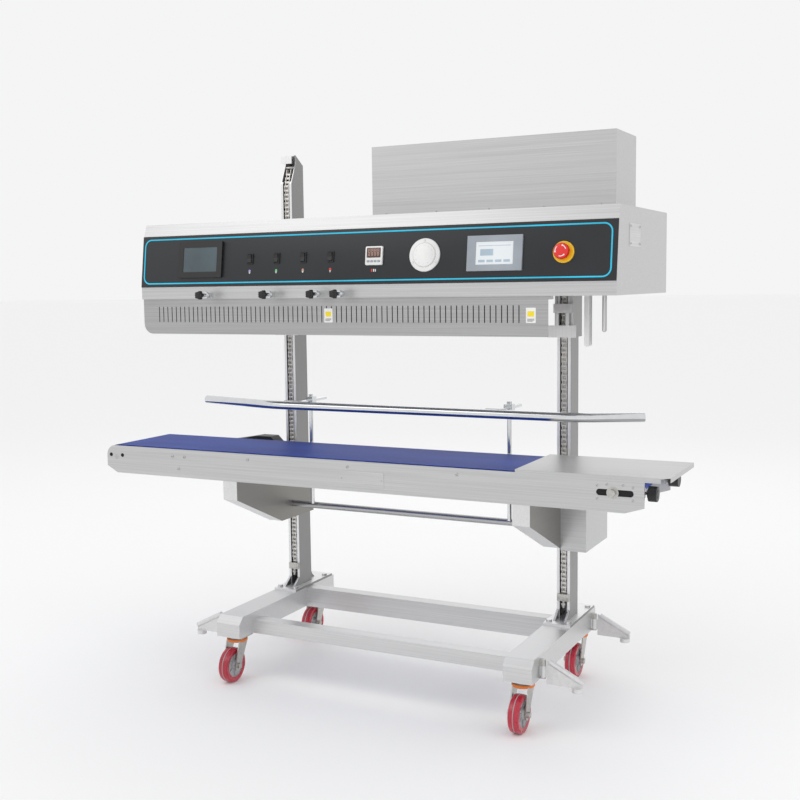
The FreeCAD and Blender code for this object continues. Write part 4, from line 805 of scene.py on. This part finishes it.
labels = Build("cover_labels", "head", "stainless", [M["label"], M["labelyellow"], M["black"]])
for x in (-0.042, 0.522):
    labels.use(0)
    pts = [(a + x, b + 1.063) for a, b in rounded(0.025, 0.037, 0.0015)]
    labels.extrude(pts, (0, -0.2510, 0), (1, 0, 0), (0, 0, 1), 0.0004)
    labels.use(1)
    pts = [(a + x, b + 1.0665) for a, b in rounded(0.017, 0.013, 0.001)]
    labels.extrude(pts, (0, -0.2514, 0), (1, 0, 0), (0, 0, 1), 0.0002)
    labels.use(2)
    for k in range(3):
        pts = [(x - 0.009, 1.0535 - 0.0026 * k), (x + 0.009 - 0.004 * (k == 2),
               1.0535 - 0.0026 * k), (x + 0.009 - 0.004 * (k == 2), 1.0545 - 0.0026 * k),
               (x - 0.009, 1.0545 - 0.0026 * k)]
        labels.extrude(pts, (0, -0.2514, 0), (1, 0, 0), (0, 0, 1), 0.0002)
labels.done()

END = 0.7338
# the end plate takes the lighter steel: painted light on the right end
endplate = Build("head_end_plate", "head", "stainless", [M["steel_deep"], M["roller"]])
pts = [(a - 0.099, b + 1.253) for a, b in rounded(0.100, 0.056, 0.003)]
endplate.extrude(pts, (END, 0, 0), (0, 1, 0), (0, 0, 1), 0.0012, 0.0004)
endplate.use(1)
for dy in (-0.043, 0.043):
    for dz in (-0.021, 0.021):
        screw(endplate, (END + 0.0012, -0.099 + dy, 1.253 + dz), (1, 0, 0), 0.0036, 0.002)
endplate.done()

BACK = 0.2294
seams = Build("sheet_screws", "head", "stainless", [M["roller"], M["dark"]])
for x in (-0.60, -0.30, 0.0, 0.30, 0.60):
    screw(seams, (x, BACK, 1.290), (0, 1, 0), 0.004, 0.002)
    screw(seams, (x, BACK, 1.140), (0, 1, 0), 0.004, 0.002)
for x in (0.04, 0.19, 0.34, 0.49, 0.64):
    screw(seams, (x, 0.121, 1.335), (0, 1, 0), 0.004, 0.002)
    screw(seams, (x, -0.065, 1.335), (0, -1, 0), 0.0025, 0.0012)
seams.done()

rear = Build("rear_service_panel", "head", "stainless",
             [M["steel_light"], M["dark"], M["black_matt"]])
pts = [(-a, b + 1.2155) for a, b in rounded(0.640, 0.150, 0.006)]
rear.extrude([(a, b) for a, b in reversed(pts)], (0, BACK, 0), (-1, 0, 0), (0, 0, 1), 0.0015,
             0.0005)
# painted shade: dark slots stand for the shade inside the rear vent openings
rear.use(1)
for row in range(3):
    for k in range(12):
        x = -0.11 + k * 0.02
        pts = [(-a - x, b + 1.19 + row * 0.026) for a, b in rounded(0.004, 0.020, 0.0018)]
        rear.extrude([(a, b) for a, b in reversed(pts)], (0, 0.2309, 0), (-1, 0, 0), (0, 0, 1),
                     0.0002)
rear.use(2)
rear.lathe([(0.0, 0.016), (0.004, 0.016), (0.006, 0.013), (0.014, 0.011), (0.016, 0.0085),
            (0.016, 0.0)], (-0.52, BACK, 1.150), (0, 1, 0), 24)
rear.done()

motor = Build("motor_details", "conveyor", "motor_black", [M["motor"], M["zinc"]])
low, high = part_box("belt_drive_motor")
for k in range(11):
    x = low[0] + 0.012 + k * 0.0145
    motor.block((x, high[1] - 0.0005, 0.612), (x + 0.0045, high[1] + 0.0035, 0.652), 0.0006)
motor.use(1)
for x in (low[0] + 0.008, high[0] - 0.006):
    for z in (0.606, 0.6535):
        screw(motor, (x, high[1], z), (0, 1, 0), 0.0035, 0.002)
motor.done()

# painted shade: a thin dark sheet behind the front cover stands for the shade inside the head
vent_shade = Build("vent_shade_sheet", "head", "stainless", [M["dark"]])
vent_shade.block((-0.610, -0.2435, 1.035), (0.500, -0.2430, 1.098))
vent_shade.done()

# ------------------------------------------------------------ floor, light and camera
bpy.ops.mesh.primitive_plane_add(size=160, location=(0, 0, 0))
floor = bpy.context.object
floor.name = "studio_floor"
mat, tree, shader = new_mat("studio_floor", (0.97, 0.97, 0.97), 0.9, 0.0, 0.1)
floor.data.materials.append(mat)

world = bpy.data.worlds.new("studio")
bpy.context.scene.world = world
bpy.context.scene.view_settings.view_transform = "Standard"
world.use_nodes = True
world.node_tree.nodes["Background"].inputs["Color"].default_value = (0.93, 0.93, 0.935, 1)
world.node_tree.nodes["Background"].inputs["Strength"].default_value = 0.98


def soft_light(name, at, target, size, power):
    """Square soft light aimed at a point."""
    data = bpy.data.lights.new(name, "AREA")
    data.shape = "SQUARE"
    data.size = size
    data.energy = power
    obj = bpy.data.objects.new(name, data)
    bpy.context.scene.collection.objects.link(obj)
    obj.location = at
    obj.rotation_euler = (Vector(target) - Vector(at)).to_track_quat("-Z", "Y").to_euler()
    return obj


soft_light("key", (-2.2, -3.0, 3.6), (0, 0, 0.8), 2.4, 20)
soft_light("side", (3.8, -0.6, 2.2), (0, 0, 0.9), 2.0, 15)
soft_light("back", (-1.0, 3.4, 3.2), (0, 0, 0.9), 2.4, 10)

YAW = math.radians(27.67)
PITCH_DOWN = math.radians(5.90)
ROLL = math.radians(-0.85)
look = Vector((-math.sin(YAW) * math.cos(PITCH_DOWN), math.cos(YAW) * math.cos(PITCH_DOWN),
               -math.sin(PITCH_DOWN)))
right0 = Vector((math.cos(YAW), math.sin(YAW), 0))
up0 = right0.cross(look)
right = right0 * math.cos(ROLL) + up0 * math.sin(ROLL)
upward = right0 * -math.sin(ROLL) + up0 * math.cos(ROLL)
cam = bpy.data.cameras.new("camera")
cam.sensor_width = 36.0
cam.lens = 50.96
cam.shift_x = 0.0329
cam.shift_y = 0.0013
cam.clip_end = 300
eye = bpy.data.objects.new("camera", cam)
bpy.context.scene.collection.objects.link(eye)
turn = Matrix((right, upward, -look)).transposed()
eye.matrix_world = Matrix.Translation((1.457, -2.859, 1.144)) @ turn.to_4x4()
bpy.context.scene.camera = eye

bpy.context.view_layer.update()
